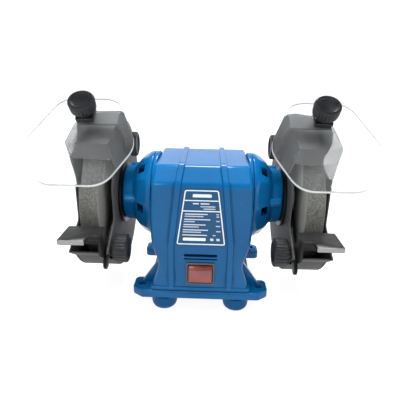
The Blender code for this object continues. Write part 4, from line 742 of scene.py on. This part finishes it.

# ---- Grinding wheels --------------------------------------------------------------------
# Grey aluminium oxide grit in a vitrified bond: coarse and open on the running face, smoother on the
# pressed sides, whose colour is painted lighter than the face's to make up for shade.  Each is gripped
# between its two flanges on the spindle.
wheel_radius = (wheel_high[2] - wheel_low[2]) / 2
for name, coarse in (("left", 1500), ("right", 1500)):
    hand = dict(hands)[name]
    grit, tree, shader = principled(name + "_grit", (0.115, 0.116, 0.105), 0.9)
    shader.inputs["Specular IOR Level"].default_value = 0.3
    rim = tree.nodes.new("ShaderNodeAttribute")
    rim.attribute_name = "rim"
    grains = tree.nodes.new("ShaderNodeTexVoronoi")
    grains.inputs["Scale"].default_value = coarse
    place = tree.nodes.new("ShaderNodeTexCoord")
    tree.links.new(place.outputs["Object"], grains.inputs["Vector"])
    speckle = tree.nodes.new("ShaderNodeSeparateColor")
    tree.links.new(grains.outputs["Color"], speckle.inputs["Color"])
    shade = ramp(tree, speckle.outputs["Red"], [(0.0, (0.068, 0.069, 0.063)), (0.35, (0.1, 0.102, 0.092)),
                                                (0.8, (0.13, 0.132, 0.12)), (1.0, (0.2, 0.2, 0.186))])
    cloud = ramp(tree, noise(tree, 45, 5.0), [(0.3, (0.84, 0.84, 0.84)), (0.7, (1.1, 1.1, 1.1))])
    tint = tree.nodes.new("ShaderNodeMix")
    tint.data_type = "RGBA"
    tint.blend_type = "MULTIPLY"
    tint.inputs["Factor"].default_value = 1.0
    tree.links.new(shade, tint.inputs["A"])
    tree.links.new(cloud, tint.inputs["B"])
    # Painted light: the pressed sides get a lighter colour than the running face, to make up for the shade
    # beside the guard's wall.
    side_painted_light = ramp(tree, noise(tree, 1300, 5.0), [(0.3, (0.16, 0.161, 0.15)),
                                                     (0.7, (0.23, 0.232, 0.215))])
    whole = tree.nodes.new("ShaderNodeMix")
    whole.data_type = "RGBA"
    tree.links.new(rim.outputs["Fac"], whole.inputs["Factor"])
    tree.links.new(side_painted_light, whole.inputs["A"])
    tree.links.new(tint.outputs["Result"], whole.inputs["B"])
    tree.links.new(whole.outputs["Result"], shader.inputs["Base Color"])
    rough = spread(tree, rim.outputs["Fac"], 0.25, 1.0)
    bump = tree.nodes.new("ShaderNodeBump")
    bump.inputs["Distance"].default_value = 0.25 * mm
    tree.links.new(rough, bump.inputs["Strength"])
    tree.links.new(grains.outputs["Distance"], bump.inputs["Height"])
    tree.links.new(bump.outputs["Normal"], shader.inputs["Normal"])
    relief(tree, shader, noise(tree, 700, 5.0), 0.2 * mm, 0.6)
    low, high = (np.array(corner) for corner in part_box("right_wheel"))
    line = rounded([(low[0], 6.6 * mm), (low[0], wheel_radius - 0.9 * mm),
                    (low[0] + 0.9 * mm, wheel_radius),
                    (high[0] - 0.9 * mm, wheel_radius), (high[0], wheel_radius - 0.9 * mm),
                    (high[0], 6.6 * mm)], 0.4 * mm, 4)
    wheel = bare(name + "_grinding_wheel", [turned(flip(line, hand), 160)])
    radii = points_of(wheel) - (0, shaft_y, shaft_z)
    write_values(wheel, "rim", np.hypot(radii[:, 1], radii[:, 2]) > wheel_radius - 0.5 * mm)
    settle(wheel, grit, "spindle", [name + "_wheel"], 40)

# ---- Wheel guards, covers and screws ----------------------------------------------------
# Pressed sheet-steel guards in warm grey enamel: an inner wall and a band in one pressing, beaked
# over the wheel and open at the mouth, closed by a dished cover on three pan-head screws.
grey_enamel, tree, shader = principled("grey_enamel", (0.088, 0.089, 0.086), 0.36)
shader.inputs["Specular IOR Level"].default_value = 0.06
tinge(tree, shader, noise(tree, 30, 5.0), [(0.3, (0.06, 0.061, 0.062)), (0.7, (0.08, 0.081, 0.081))])
polish(tree, shader, noise(tree, 120, 4.0), 0.46, 0.62)
relief(tree, shader, noise(tree, 500, 3.0), 0.05 * mm, 0.6)
relief(tree, shader, noise(tree, 90, 2.0), 0.05 * mm, 0.3)
guard_low, guard_high = (np.array(corner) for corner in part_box("right_guard"))
cover_low, cover_high = (np.array(corner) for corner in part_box("right_guard_cover"))
wheel_low, wheel_high = (np.array(corner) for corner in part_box("right_wheel"))
sheet = 1.5 * mm
stud_hole = 3.4 * mm
guard_radius = 71 * mm
beak, heel, lip_point = np.array([-56, 59]) * mm, np.array([-48, 47]) * mm, np.array([-74, -30]) * mm
lip_turn = 215
pivot, stud = np.array([-15, 51]) * mm, np.array([-59, -32]) * mm


def at_shaft(points):
    """(y, z) points measured from the shaft line, moved to the row frame."""
    return np.asarray(points, float) + (shaft_y, shaft_z)


def back_of(radius):
    """The round part of a guard's outline, from the lower lip round behind the wheel to the top."""
    turn = np.radians(np.linspace(lip_turn, 450, 90))
    return np.stack([radius * np.cos(turn), radius * np.sin(turn)], axis=1)


mouth = np.array([(-38, 30), (-44, 18), (-44, -12), (-51, -16), (-66, -26)]) * mm
corners = np.concatenate([[(-26 * mm, guard_radius)], [beak, heel], mouth, [lip_point]])
eased = np.array([10, 2.0, 3.5, 5, 4, 3, 3, 3, 1.6]) * mm
turned_ends = back_of(guard_radius)
outline = np.concatenate([turned_ends, corners])
reach_list = np.concatenate([np.full(len(turned_ends), 0.3 * mm), eased])
guard_line = at_shaft(rounded(outline, reach_list, 4))
inner_radius = guard_radius - sheet
slope = (beak - heel) / np.linalg.norm(beak - heel)
inward = np.array([slope[1], -slope[0]])
inward *= np.sign(inward[0])
tail = np.array([math.cos(math.radians(lip_turn)), math.sin(math.radians(lip_turn))])
run = lip_point - guard_radius * tail
run /= np.linalg.norm(run)
hollow_line = np.concatenate([back_of(inner_radius), [(-26 * mm + sheet * 0.3, inner_radius),
                                                      beak + inward * sheet + (1.2 * mm, -0.4 * mm),
                              heel + inward * sheet, (heel[0] + sheet, heel[1] - 0.2 * mm),
                                                      (heel[0] - 60 * mm, heel[1] - 0.2 * mm),
                              inner_radius * tail + run * 60 * mm]])
hollow_line = at_shaft(hollow_line)
screw_reach = guard_radius - sheet - 2.2 * mm
screw_spots = [at_shaft((screw_reach * math.cos(math.radians(turn)),
                         screw_reach * math.sin(math.radians(turn))))
               for turn in (60, 340, 235)]
stud_spot, pivot_spot = at_shaft(stud), at_shaft(pivot)
for side, hand in hands:
    ends = between(hand, guard_low[0], guard_high[0])
    shell = bare(side + "_guard_pressing", [slab(guard_line, *ends, 0.5 * mm, 0)])
    ends = between(hand, guard_low[0] + sheet, guard_high[0] + 5 * mm)
    carve(shell, [slab(hollow_line, *ends, 0.3 * mm, 0, 2)])
    ends = between(hand, guard_high[0] - 14 * mm, guard_high[0] - 0.05 * mm)
    carve(shell, [slab(circle(spot, 3.2 * mm, 24), *ends, 0.2 * mm, 0) for spot in screw_spots], "UNION")
    near, far = between(hand, guard_low[0] + sheet - 0.1 * mm, guard_low[0] + sheet + 6.5 * mm)
    notch = box_outline((near, stud_spot[0] - 30 * mm), (far, stud_spot[0] + 7 * mm), 0.8 * mm)
    carve(shell, [slab(notch, stud_spot[1] - 14 * mm, stud_spot[1] + 12 * mm, 0.1 * mm, 2)])
    ends = between(hand, guard_high[0] - 10 * mm, guard_high[0] + 8 * mm)
    holes = [slab(circle(spot, 1.8 * mm, 20), *ends, 0.1 * mm, 0) for spot in screw_spots]
    ends = between(hand, guard_low[0] - 5 * mm, guard_low[0] + 4 * mm)
    for spot, radius in ((at_shaft((0, 0)), 10 * mm), (stud_spot, stud_hole), (pivot_spot, stud_hole)):
        holes.append(slab(circle(spot, radius, 40), *ends, 0.1 * mm, 0))
    carve(shell, holes)
    settle(shell, grey_enamel, "frame", [side + "_guard"], 32)

    ends = between(hand, cover_low[0], cover_low[0] + sheet)
    cover = bare(side + "_cover_pressing", [slab(guard_line, *ends, 0.5 * mm, 0)])
    start, stop = cover_low[0] + 0.5 * mm, cover_high[0]
    dish = [(start, 0.05 * mm), (start, 27 * mm), (start + 0.9 * mm, 27 * mm),
            (start + 1.6 * mm, 24.6 * mm), (stop - 1.4 * mm, 23.3 * mm),
            (stop, 21 * mm), (stop, 0.05 * mm)]
    dish = rounded(dish, [0.01 * mm, 0.2 * mm, 0.4 * mm, 1.0 * mm, 1.6 * mm, 1.6 * mm, 0.01 * mm], 5)
    carve(cover, [turned(flip(dish, hand), 96, False)], "UNION")
    inside = [(cover_low[0] - 5 * mm, 0.05 * mm), (cover_low[0] - 5 * mm, 22.4 * mm),
              (cover_low[0], 22.4 * mm),
              (stop - sheet - 1.2 * mm, 21.6 * mm), (stop - sheet, 20 * mm), (stop - sheet, 0.05 * mm)]
    carve(cover, [turned(flip(inside, hand), 96, False)])
    ends = between(hand, cover_low[0] - 5 * mm, cover_low[0] + 5 * mm)
    carve(cover, [slab(circle(spot, 1.8 * mm, 20), *ends, 0.1 * mm, 0) for spot in screw_spots])
    settle(cover, grey_enamel, "frame", [side + "_guard_cover"], 32)

    for index, spot in enumerate(screw_spots, 1):
        low, high = (np.array(corner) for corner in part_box(f"right_cover_screw_{index}"))
        seat = high[0] - 1.9 * mm
        line = [(low[0], 0.05 * mm), (low[0], 1.1 * mm), (low[0] + 0.5 * mm, 1.5 * mm), (seat, 1.5 * mm),
                (seat, 3 * mm),
                (seat + 0.8 * mm, 2.95 * mm), (high[0], 1.9 * mm), (high[0], 0.05 * mm)]
        line = rounded(line, [0.01 * mm, 0.3 * mm, 0.2 * mm, 0.1 * mm, 0.25 * mm, 0.5 * mm, 0.7 * mm,
                              0.01 * mm], 4)
        points, faces = turned(flip(line, hand), 40, False)
        points[:, 1:] += spot - (shaft_y, shaft_z)
        screw = bare(f"{side}_pan_screw_{index}", [(points, faces)])
        cross = []
        for long, short in ((1.7 * mm, 0.33 * mm), (0.33 * mm, 1.7 * mm)):
            recess = box_outline(spot - (long, short), spot + (long, short), 0.1 * mm)
            ends = between(hand, high[0] - 1.1 * mm, high[0] + 1 * mm)
            cross.append(slab(recess, *ends, 0.05 * mm, 0, 2))
        carve(screw, [cross[0]])
        carve(screw, [cross[1]])
        settle(screw, zinc, "frame", [f"{side}_cover_screw_{index}"], 30)

# ---- Tool rests -------------------------------------------------------------------------
# Black painted steel: a flat strip with a slot hangs behind each guard's wall, and the stepped
# rest plate slides on its tab.  The plate's front edge is painted light grey and metallic, a painted
# highlight along the lip, with scattered worn patches elsewhere.
black_worn_and_edge_lit, tree, shader = principled("black_paint_worn_and_edge_lit", (0.035, 0.035, 0.036), 0.38, 0.15)
shader.inputs["Specular IOR Level"].default_value = 0.12
edge_highlight = tree.nodes.new("ShaderNodeAttribute")
edge_highlight.attribute_name = "edge_highlight"
patchy = noise(tree, 260, 6.0)
# Painted highlight: the marked front edge is mixed to light grey and metallic; the noise adds scattered
# worn patches.
edge_highlight_weight = tree.nodes.new("ShaderNodeMath")
edge_highlight_weight.operation = "MULTIPLY_ADD"
tree.links.new(edge_highlight.outputs["Fac"], edge_highlight_weight.inputs[0])
edge_highlight_weight.inputs[1].default_value = 1.5
edge_highlight_weight.inputs[2].default_value = -0.85
edge_highlight_and_patch_mask = tree.nodes.new("ShaderNodeMath")
edge_highlight_and_patch_mask.operation = "ADD"
edge_highlight_and_patch_mask.use_clamp = True
tree.links.new(edge_highlight_weight.outputs[0], edge_highlight_and_patch_mask.inputs[0])
tree.links.new(patchy, edge_highlight_and_patch_mask.inputs[1])
paint = ramp(tree, noise(tree, 80, 5.0), [(0.3, (0.013, 0.013, 0.0135)), (0.7, (0.026, 0.026, 0.027))])
bright = tree.nodes.new("ShaderNodeMix")
bright.data_type = "RGBA"
tree.links.new(edge_highlight_and_patch_mask.outputs[0], bright.inputs["Factor"])
tree.links.new(paint, bright.inputs["A"])
bright.inputs["B"].default_value = (0.3, 0.3, 0.3, 1)
tree.links.new(bright.outputs["Result"], shader.inputs["Base Color"])
tree.links.new(spread(tree, edge_highlight_and_patch_mask.outputs[0], 0.1, 0.75), shader.inputs["Metallic"])
polish(tree, shader, noise(tree, 200, 4.0), 0.3, 0.48)
relief(tree, shader, noise(tree, 700, 3.0), 0.05 * mm, 0.6)
rest_high = np.array(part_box("right_tool_rest")[1])
strip_wall, tab_wall = 2.5 * mm, 2 * mm
strip_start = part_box("right_rest_bracket")[0][0]
tab_start = strip_start + strip_wall + gap
strip_top = np.array([-34, -12]) * mm
strip_run = (stud - strip_top) / np.linalg.norm(stud - strip_top)
rest_z, rest_wall = rest_high[2] - shaft_z, 4 * mm
plate_back = -math.sqrt(wheel_radius ** 2 - rest_z ** 2) - 3 * mm
plate_front = plate_back - 28.5 * mm
plate_left, plate_right = guard_low[0] + 3.5 * mm, guard_low[0] + 34 * mm


def capsule(start, end, radius):
    """The outline of a slot between two points."""
    start, end = np.asarray(start, float), np.asarray(end, float)
    lean = math.atan2(*(end - start)[::-1])
    turn = np.linspace(-math.pi / 2, math.pi / 2, 14)
    far = end + radius * np.stack([np.cos(lean + turn), np.sin(lean + turn)], axis=1)
    near = start + radius * np.stack([np.cos(lean + math.pi + turn), np.sin(lean + math.pi + turn)], axis=1)
    return np.concatenate([far, near])


def across_x(outline, hand, low, high, ease):
    """A (y, z) outline from the shaft line made a slab between two distances from the middle."""
    return slab(at_shaft(outline), *between(hand, low, high), ease, 0)


for side, hand in hands:
    bracket = bare(side + "_rest_strip", [across_x(capsule(strip_top, strip_top + strip_run * 46 * mm,
                                                           5.5 * mm), hand,
                                                   strip_start, strip_start + strip_wall, 0.4 * mm)])
    rivet = across_x(circle(strip_top + strip_run * 3 * mm, 4 * mm, 32), hand, strip_start + 1.2 * mm,
                     strip_start + strip_wall + 1.2 * mm, 0.7 * mm)
    carve(bracket, [rivet], "UNION")
    cut = capsule(stud - strip_run * 8 * mm, stud + strip_run * 5 * mm, stud_hole)
    carve(bracket, [across_x(cut, hand, strip_start - 3 * mm, strip_start + strip_wall + 3 * mm, 0.1 * mm)])
    settle(bracket, black_paint, "frame", [side + "_rest_bracket"], 32)

    stepped = np.array([(plate_left, plate_back), (plate_right, plate_back), (plate_right, plate_front),
                        (plate_left + 9 * mm, plate_front), (plate_left + 9 * mm, plate_front + 9 * mm),
                        (plate_left, plate_front + 9 * mm)])
    stepped = rounded(stepped * (hand, 1) + (0, shaft_y), [0.8 * mm, 1.6 * mm, 2 * mm, 1 * mm, 1 * mm,
                                                           0.8 * mm], 4)
    rest = bare(side + "_rest_plate", [slab(stepped, shaft_z + rest_z - rest_wall, shaft_z + rest_z,
                                            0.7 * mm, 2)])
    slot_back, slot_front = stud[0] + 10 * mm, stud[0] - 1.5 * mm
    margin = 6.4 * mm
    brace_back, brace_front = plate_back - 5 * mm, plate_back - 12 * mm
    low_z = rest_z - rest_wall - 7 * mm
    tab = np.array([(slot_back + margin, stud[1] + margin), (slot_back + margin, stud[1] - margin),
                    (slot_front - margin, stud[1] - margin), (brace_front, stud[1] - margin + 6 * mm),
                    (brace_front, rest_z - 1.5 * mm), (brace_back, rest_z - 1.5 * mm),
                    (brace_back + 5 * mm, stud[1] + margin)])
    tab = rounded(tab, [3, 3, 3, 3, 0.5, 0.5, 3] * np.array(mm), 4)
    carve(rest, [across_x(tab, hand, tab_start, tab_start + tab_wall, 0.3 * mm)], "UNION")
    wedge = np.array([(brace_back - 1.5 * mm, rest_z - 1.2 * mm), (brace_back - 1.5 * mm, low_z),
                      (brace_front + 1 * mm, low_z),
                      (brace_front + 1 * mm, rest_z - 1.2 * mm)])
    rings = [np.insert(at_shaft(wedge), 0, hand * x, axis=1)
             for x in (tab_start + 0.5 * tab_wall, plate_right - 7 * mm)]
    carve(rest, [tube(np.array(rings))], "UNION")
    cut = capsule((slot_front, stud[1]), (slot_back, stud[1]), stud_hole)
    carve(rest, [across_x(cut, hand, tab_start - 3 * mm, tab_start + tab_wall + 3 * mm, 0.1 * mm)])
    places = points_of(rest)
    at_front = places[:, 1] < shaft_y + plate_front + 0.8 * mm
    # The top front edge takes the painted highlight.
    lit_front_edge = at_front & (places[:, 2] > shaft_z + rest_z - 3.6 * mm)
    write_values(rest, "edge_highlight", lit_front_edge)
    settle(rest, black_worn_and_edge_lit, side + "_tool_rest", [side + "_tool_rest"], 32)

# ---- Clamp knobs ------------------------------------------------------------------------
# Moulded black plastic knobs on steel studs: a raised ring round a sunk face, fine grip ribs
# round the skirt.  One clamps each rest, one each shield arm and one each shield.
knob_plastic, tree, shader = principled("black_knob_plastic", (0.013, 0.014, 0.016), 0.4)
shader.inputs["Specular IOR Level"].default_value = 0.4
tinge(tree, shader, noise(tree, 150, 5.0), [(0.3, (0.006, 0.0065, 0.0075)), (0.75, (0.013, 0.0145, 0.017))])
polish(tree, shader, noise(tree, 300, 4.0), 0.3, 0.5)
relief(tree, shader, noise(tree, 2600, 2.0), 0.04 * mm, 0.6)
ribs = 24


def clamp_knob(r, height, hub_radius, hub, stud_length, dish):
    """Rows of points of a knob along X from its face: sunk centre, ring, ribbed skirt, hub and stud."""
    table = [(dish + 0.2 * mm, 0.02 * mm, 0), (dish + 0.2 * mm, 0.18 * r, 0), (dish, 0.24 * r, 0),
             (dish, 0.6 * r, 0),
             (dish - 0.3 * mm, 0.66 * r, 0), (0.5 * mm, 0.72 * r, 0), (0.1 * mm, 0.76 * r, 0),
             (0, 0.8 * r, 0), (0, 0.86 * r, 0),
             (0.2 * mm, 0.92 * r, 0.1), (0.8 * mm, 0.97 * r, 0.5), (1.6 * mm, r, 1),
             (height - 2.4 * mm, 0.985 * r, 1),
             (height - 1.2 * mm, 0.96 * r, 0.7), (height - 0.3 * mm, 0.9 * r, 0.2), (height, 0.84 * r, 0),
             (height, hub_radius + 0.5 * mm, 0),
             (height + 0.3 * mm, hub_radius, 0), (height + hub - 0.3 * mm, hub_radius, 0),
             (height + hub, hub_radius - 0.3 * mm, 0),
             (height + hub, 3 * mm, 0), (height + hub + stud_length - 0.5 * mm, 3 * mm, 0),
             (height + hub + stud_length, 2.5 * mm, 0), (height + hub + stud_length, 0.02 * mm, 0)]
    table = np.array(table)
    turn = np.linspace(0, 2 * math.pi, ribs * 8, endpoint=False)
    groove = np.abs(np.sin(turn * ribs / 2)) ** 0.5
    radius = table[:, 1:2] - table[:, 2:3] * 0.75 * mm * (1 - groove)
    return np.stack([np.repeat(table[:, :1], len(turn), axis=1), radius * np.cos(turn),
                     radius * np.sin(turn)], axis=-1)


leg_out = guard_low[0] - 6.5 * mm
leg_in = leg_out - 2 * mm
middle = (wheel_low[0] + wheel_high[0]) / 2
clamp_point = np.array([-46.5, 78.4]) * mm
tilt = math.radians(38)
shield_wall = 2.5 * mm
rest_stack = tab_start + tab_wall + 1.2 * mm - guard_low[0] + gap
arm_stack = guard_low[0] + sheet + 1 * mm - leg_in + gap
for side, hand in hands:
    knobs = ((side + "_rest_knob", 12.4 * mm, 13 * mm, 7 * mm, 1.5 * mm, rest_stack, guard_low[0] - gap,
              stud, 1.8 * mm),
             (side + "_arm_knob", 11 * mm, 7.5 * mm, 6.5 * mm, 1.5 * mm, arm_stack, leg_in - gap, pivot,
              1.3 * mm))
    for name, size, height, hub_radius, hub, stack, seat, spot, dish in knobs:
        points = clamp_knob(size, height, hub_radius, hub, stack, dish)
        points[..., 0] = hand * (points[..., 0] + seat - hub - height)
        points[..., 1:] += at_shaft(spot)
        item = bare(name + "_moulding", [tube(points)])
        settle(item, knob_plastic, name, [name], 42)
    pad_top = shield_wall / 2 + gap + 3 * mm + gap
    below = -shield_wall / 2 - gap
    points = clamp_knob(10.6 * mm, 10.3 * mm, 5.5 * mm, 4 * mm, pad_top - below + 2 * mm + 1 * mm, 1.6 * mm)
    along, out = points[..., 2], pad_top + 4 * mm + 10.3 * mm - points[..., 0]
    placed = np.stack([hand * middle + points[..., 1],
                       shaft_y + clamp_point[0] + along * math.cos(tilt) - out * math.sin(tilt),
                       shaft_z + clamp_point[1] + along * math.sin(tilt) + out * math.cos(tilt)], axis=-1)
    item = bare(side + "_shield_knob_moulding", [tube(placed)])
    settle(item, knob_plastic, side + "_shield_knob", [side + "_shield_knob"], 42)

# ---- Shield arms and clamp plates -------------------------------------------------------
# Each arm is one folded steel strip in the guards' grey: a leg that pivots on the guard's inner
# side, a crossbar lying under the shield and a stiffening flange turned back along its top.
def on_shield(points, hand):
    """(across, along, out) of the shield's plane moved to the row frame."""
    across, along, out = np.moveaxis(np.asarray(points, float), -1, 0)
    return np.stack([hand * (middle + across),
                     shaft_y + clamp_point[0] + along * math.cos(tilt) - out * math.sin(tilt),
                     shaft_z + clamp_point[1] + along * math.sin(tilt) + out * math.cos(tilt)], axis=-1)


def shield_slab(outline, hand, low, high, ease):
    """An (across, along) outline made a slab square to the shield's plane."""
    points, faces = slab(outline, low, high, ease, 2)
    return on_shield(points, hand), faces


below = -shield_wall / 2 - gap
low_edge, high_edge = -6.5 * mm, 6.5 * mm
for side, hand in hands:
    left_end, right_end = leg_in - middle + 0.1 * mm, leg_in - middle + 34 * mm
    crossbar = rounded([(left_end, low_edge), (right_end, low_edge), (right_end, high_edge),
                        (left_end, high_edge)],
                       [0.4 * mm, 3 * mm, 0.6 * mm, 0.4 * mm], 5)
    arm = bare(side + "_shield_bracket", [shield_slab(crossbar, hand, below - 2 * mm, below, 0.35 * mm)])
    edge_point = on_shield((0, high_edge, below - 2 * mm), 1)[1:] - (shaft_y, shaft_z)
    flange = edge_point + np.array([(-2.0, -1.2), (-1.6, 0.9), (7, 0.9), (7, -1.2)]) * mm
    flange = rounded(flange, [0.3 * mm, 1.2 * mm, 0.5 * mm, 0.5 * mm], 5)
    carve(arm, [across_x(flange, hand, leg_in + 0.8 * mm, leg_in + 32.5 * mm, 0.3 * mm)], "UNION")
    toe = on_shield((0, low_edge + 0.5 * mm, below - 0.4 * mm), 1)[1:] - (shaft_y, shaft_z)
    top = on_shield((0, high_edge - 0.5 * mm, below - 0.4 * mm), 1)[1:] - (shaft_y, shaft_z)
    turn = np.linspace(0, -math.pi, 20)
    leg = np.concatenate([[toe, top, edge_point + (6.2 * mm, 0.6 * mm), pivot + (14 * mm, 10 * mm)],
                          pivot + 12 * mm * np.stack([np.cos(turn), np.sin(turn)], axis=1)])
    leg = rounded(leg, [1 * mm, 0.5 * mm, 3 * mm, 8 * mm] + [0.2 * mm] * 20, 4)
    carve(arm, [across_x(leg, hand, leg_in, leg_out, 0.35 * mm)], "UNION")
    carve(arm, [across_x(circle(pivot, 7 * mm, 40), hand, leg_out - 1 * mm, guard_low[0] - gap, 0.3 * mm)],
          "UNION")
    carve(arm, [shield_slab(circle((0, 0), stud_hole, 32), hand, below - 7 * mm, 0, 0.05 * mm)])
    carve(arm, [across_x(circle(pivot, stud_hole, 32), hand, leg_in - 5 * mm, guard_low[0] + 5 * mm,
                         0.05 * mm)])
    settle(arm, grey_enamel, side + "_shield_arm", [side + "_shield_arm"], 32)
    pad = box_outline((-7.5 * mm, low_edge), (7.5 * mm, high_edge), 1.5 * mm)
    clamp = bare(side + "_clamp_pad", [shield_slab(pad, hand, shield_wall / 2 + gap,
                                                   shield_wall / 2 + gap + 3 * mm, 0.7 * mm)])
    carve(clamp, [shield_slab(circle((0, 0), stud_hole, 32), hand, 0, shield_wall / 2 + 8 * mm, 0.05 * mm)])
    settle(clamp, knob_plastic, side + "_shield_arm", [side + "_shield_clamp"], 35)

# ---- Eye shields ------------------------------------------------------------------------
# Clear polycarbonate, cut to a rounded hexagon from 2.5 mm sheet: the cut edges are painted a flat pale
# grey, a painted sheen for the light they catch, and a faint haze of dust and hairline scratches covers the
# faces.
clear, tree, shader = principled("clear_polycarbonate", (0.93, 0.95, 0.96), 0.03)
shader.inputs["Transmission Weight"].default_value = 1.0
shader.inputs["IOR"].default_value = 1.45
polish(tree, shader, noise(tree, 55, 5.0), 0.02, 0.07)
relief(tree, shader, noise(tree, 35, 2.0), 0.01 * mm, 0.2)
dust_and_edge_sheen = tree.nodes.new("ShaderNodeBsdfDiffuse")
dust_and_edge_sheen.inputs["Color"].default_value = (0.62, 0.64, 0.66, 1)
fine = tree.nodes.new("ShaderNodeBsdfTransparent")
fine.inputs["Color"].default_value = (0.965, 0.972, 0.975, 1)
scratches = noise(tree, 420, 4.0, (1, 0.08, 0.08))
amount = ramp(tree, scratches, [(0.45, (0.012, 0.012, 0.012)), (0.75, (0.035, 0.035, 0.035))])
# Painted sheen: the rim attribute marks the cut edges, which take mostly the grey diffuse in place of the
# light a polished edge catches.
rim = tree.nodes.new("ShaderNodeAttribute")
rim.attribute_name = "rim"
haze_and_edge_sheen = tree.nodes.new("ShaderNodeMath")
haze_and_edge_sheen.operation = "MULTIPLY_ADD"
haze_and_edge_sheen.use_clamp = True
tree.links.new(rim.outputs["Fac"], haze_and_edge_sheen.inputs[0])
haze_and_edge_sheen.inputs[1].default_value = 0.85
tree.links.new(amount, haze_and_edge_sheen.inputs[2])
hazy = tree.nodes.new("ShaderNodeMixShader")
tree.links.new(haze_and_edge_sheen.outputs[0], hazy.inputs["Fac"])
tree.links.new(shader.outputs["BSDF"], hazy.inputs[1])
tree.links.new(dust_and_edge_sheen.outputs["BSDF"], hazy.inputs[2])
paths = tree.nodes.new("ShaderNodeLightPath")
through = tree.nodes.new("ShaderNodeMixShader")
tree.links.new(paths.outputs["Is Shadow Ray"], through.inputs["Fac"])
tree.links.new(hazy.outputs["Shader"], through.inputs[1])
tree.links.new(fine.outputs["BSDF"], through.inputs[2])
tree.links.new(through.outputs["Shader"], tree.nodes["Material Output"].inputs["Surface"])
hexagon = np.array([(-23.3, 20), (23.3, 20), (44, -29), (24.5, -67), (-24.5, -67), (-44, -29)]) * mm
hexagon = rounded(hexagon, 12 * mm, 14)
for side, hand in hands:
    shield = bare(side + "_clear_shield", [shield_slab(hexagon, hand, -shield_wall / 2, shield_wall / 2,
                                                       0.35 * mm)])
    carve(shield, [shield_slab(circle((0, 0), stud_hole, 32), hand, -6 * mm, 6 * mm, 0.05 * mm)])
    places = points_of(shield) - (0, shaft_y + clamp_point[0], shaft_z + clamp_point[1])
    out = np.abs(places @ np.array([0, -math.sin(tilt), math.cos(tilt)]))
    # Mark the cut edges for the painted sheen.
    write_values(shield, "rim", out < shield_wall / 2 - 0.05 * mm)
    settle(shield, clear, side + "_eye_shield", [side + "_eye_shield"], 30)

# ---- Floor, lights and camera -----------------------------------------------------------
# A lit opal table under a soft overhead lamp, a pale horizon that darkens overhead, and small lamps
# behind and in front for the gloss; the camera stands a little above the shaft, in front.
floor_mesh = bpy.data.meshes.new("floor")
floor_mesh.from_pydata([(-4, -4, 0), (4, -4, 0), (4, 4, 0), (-4, 4, 0)], [], [(0, 1, 2, 3)])
floor = bpy.data.objects.new("floor", floor_mesh)
bpy.context.scene.collection.objects.link(floor)
paper, tree, shader = principled("opal_light_table", (0.26, 0.26, 0.26), 0.85)
relief(tree, shader, noise(tree, 300, 2.0), 0.02 * mm, 0.2)
shader.inputs["Emission Color"].default_value = (1, 1, 1, 1)
shader.inputs["Emission Strength"].default_value = 0.9
floor.data.materials.append(paper)
world = bpy.data.worlds.new("studio")
world.use_nodes = True
sky = world.node_tree.nodes["Background"]
sky.inputs["Color"].default_value = (1, 1, 1, 1)
heading = world.node_tree.nodes.new("ShaderNodeTexCoord")
parts = world.node_tree.nodes.new("ShaderNodeSeparateXYZ")
dome = world.node_tree.nodes.new("ShaderNodeMapRange")
for socket, value in (("From Min", 0.34), ("From Max", 0.5), ("To Min", 1.05), ("To Max", 0.12)):
    dome.inputs[socket].default_value = value
world.node_tree.links.new(heading.outputs["Generated"], parts.inputs["Vector"])
world.node_tree.links.new(parts.outputs["Z"], dome.inputs["Value"])
world.node_tree.links.new(dome.outputs["Result"], sky.inputs["Strength"])
bpy.context.scene.world = world
for name, place, aim, size, power, glossy in (("overhead", (0, 0.12, 1.3), (0, 0, 0.1), 0.9, 36, False),
                                              ("strip", (0, 0.75, 1.15), (0, 0, 0.1), 0.25, 5, True),
                                              ("key", (-0.5, -1.1, 1.1), (0, 0, 0.1), 0.3, 3, True),
                                              ("fill", (1.0, -0.9, 0.8), (0, 0, 0.1), 0.4, 1.2, True)):
    lamp = bpy.data.lights.new(name, "AREA")
    lamp.size = size
    lamp.energy = power
    holder = bpy.data.objects.new(name, lamp)
    bpy.context.scene.collection.objects.link(holder)
    away = np.array(place) - aim
    holder.location = place
    holder.visible_glossy = glossy
    holder.rotation_euler = (math.atan2(math.hypot(away[0], away[1]), away[2]), 0,
                             math.atan2(away[1], away[0]) + math.pi / 2)
bpy.context.scene.view_settings.view_transform = "Standard"
eye = bpy.data.cameras.new("view")
eye.lens = 34.17
camera = bpy.data.objects.new("view", eye)
bpy.context.scene.collection.objects.link(camera)
camera.location = (0.00509, shaft_y - 0.35439, 0.22163)
camera.rotation_mode = "XYZ"
pitch, yaw, roll = math.radians(19.938), math.radians(-1.2425), math.radians(1.123)
look = np.array([math.sin(yaw) * math.cos(pitch), math.cos(yaw) * math.cos(pitch), -math.sin(pitch)])
right = np.array([math.cos(yaw), -math.sin(yaw), 0])
upward = np.cross(right, look)
frame_x = math.cos(roll) * right + math.sin(roll) * upward
frame_y = -math.sin(roll) * right + math.cos(roll) * upward
camera.matrix_world = Matrix([(frame_x[i], frame_y[i], -look[i], camera.location[i]) for i in range(3)]
                             + [(0, 0, 0, 1)])
bpy.context.scene.camera = camera
bpy.context.view_layer.update()
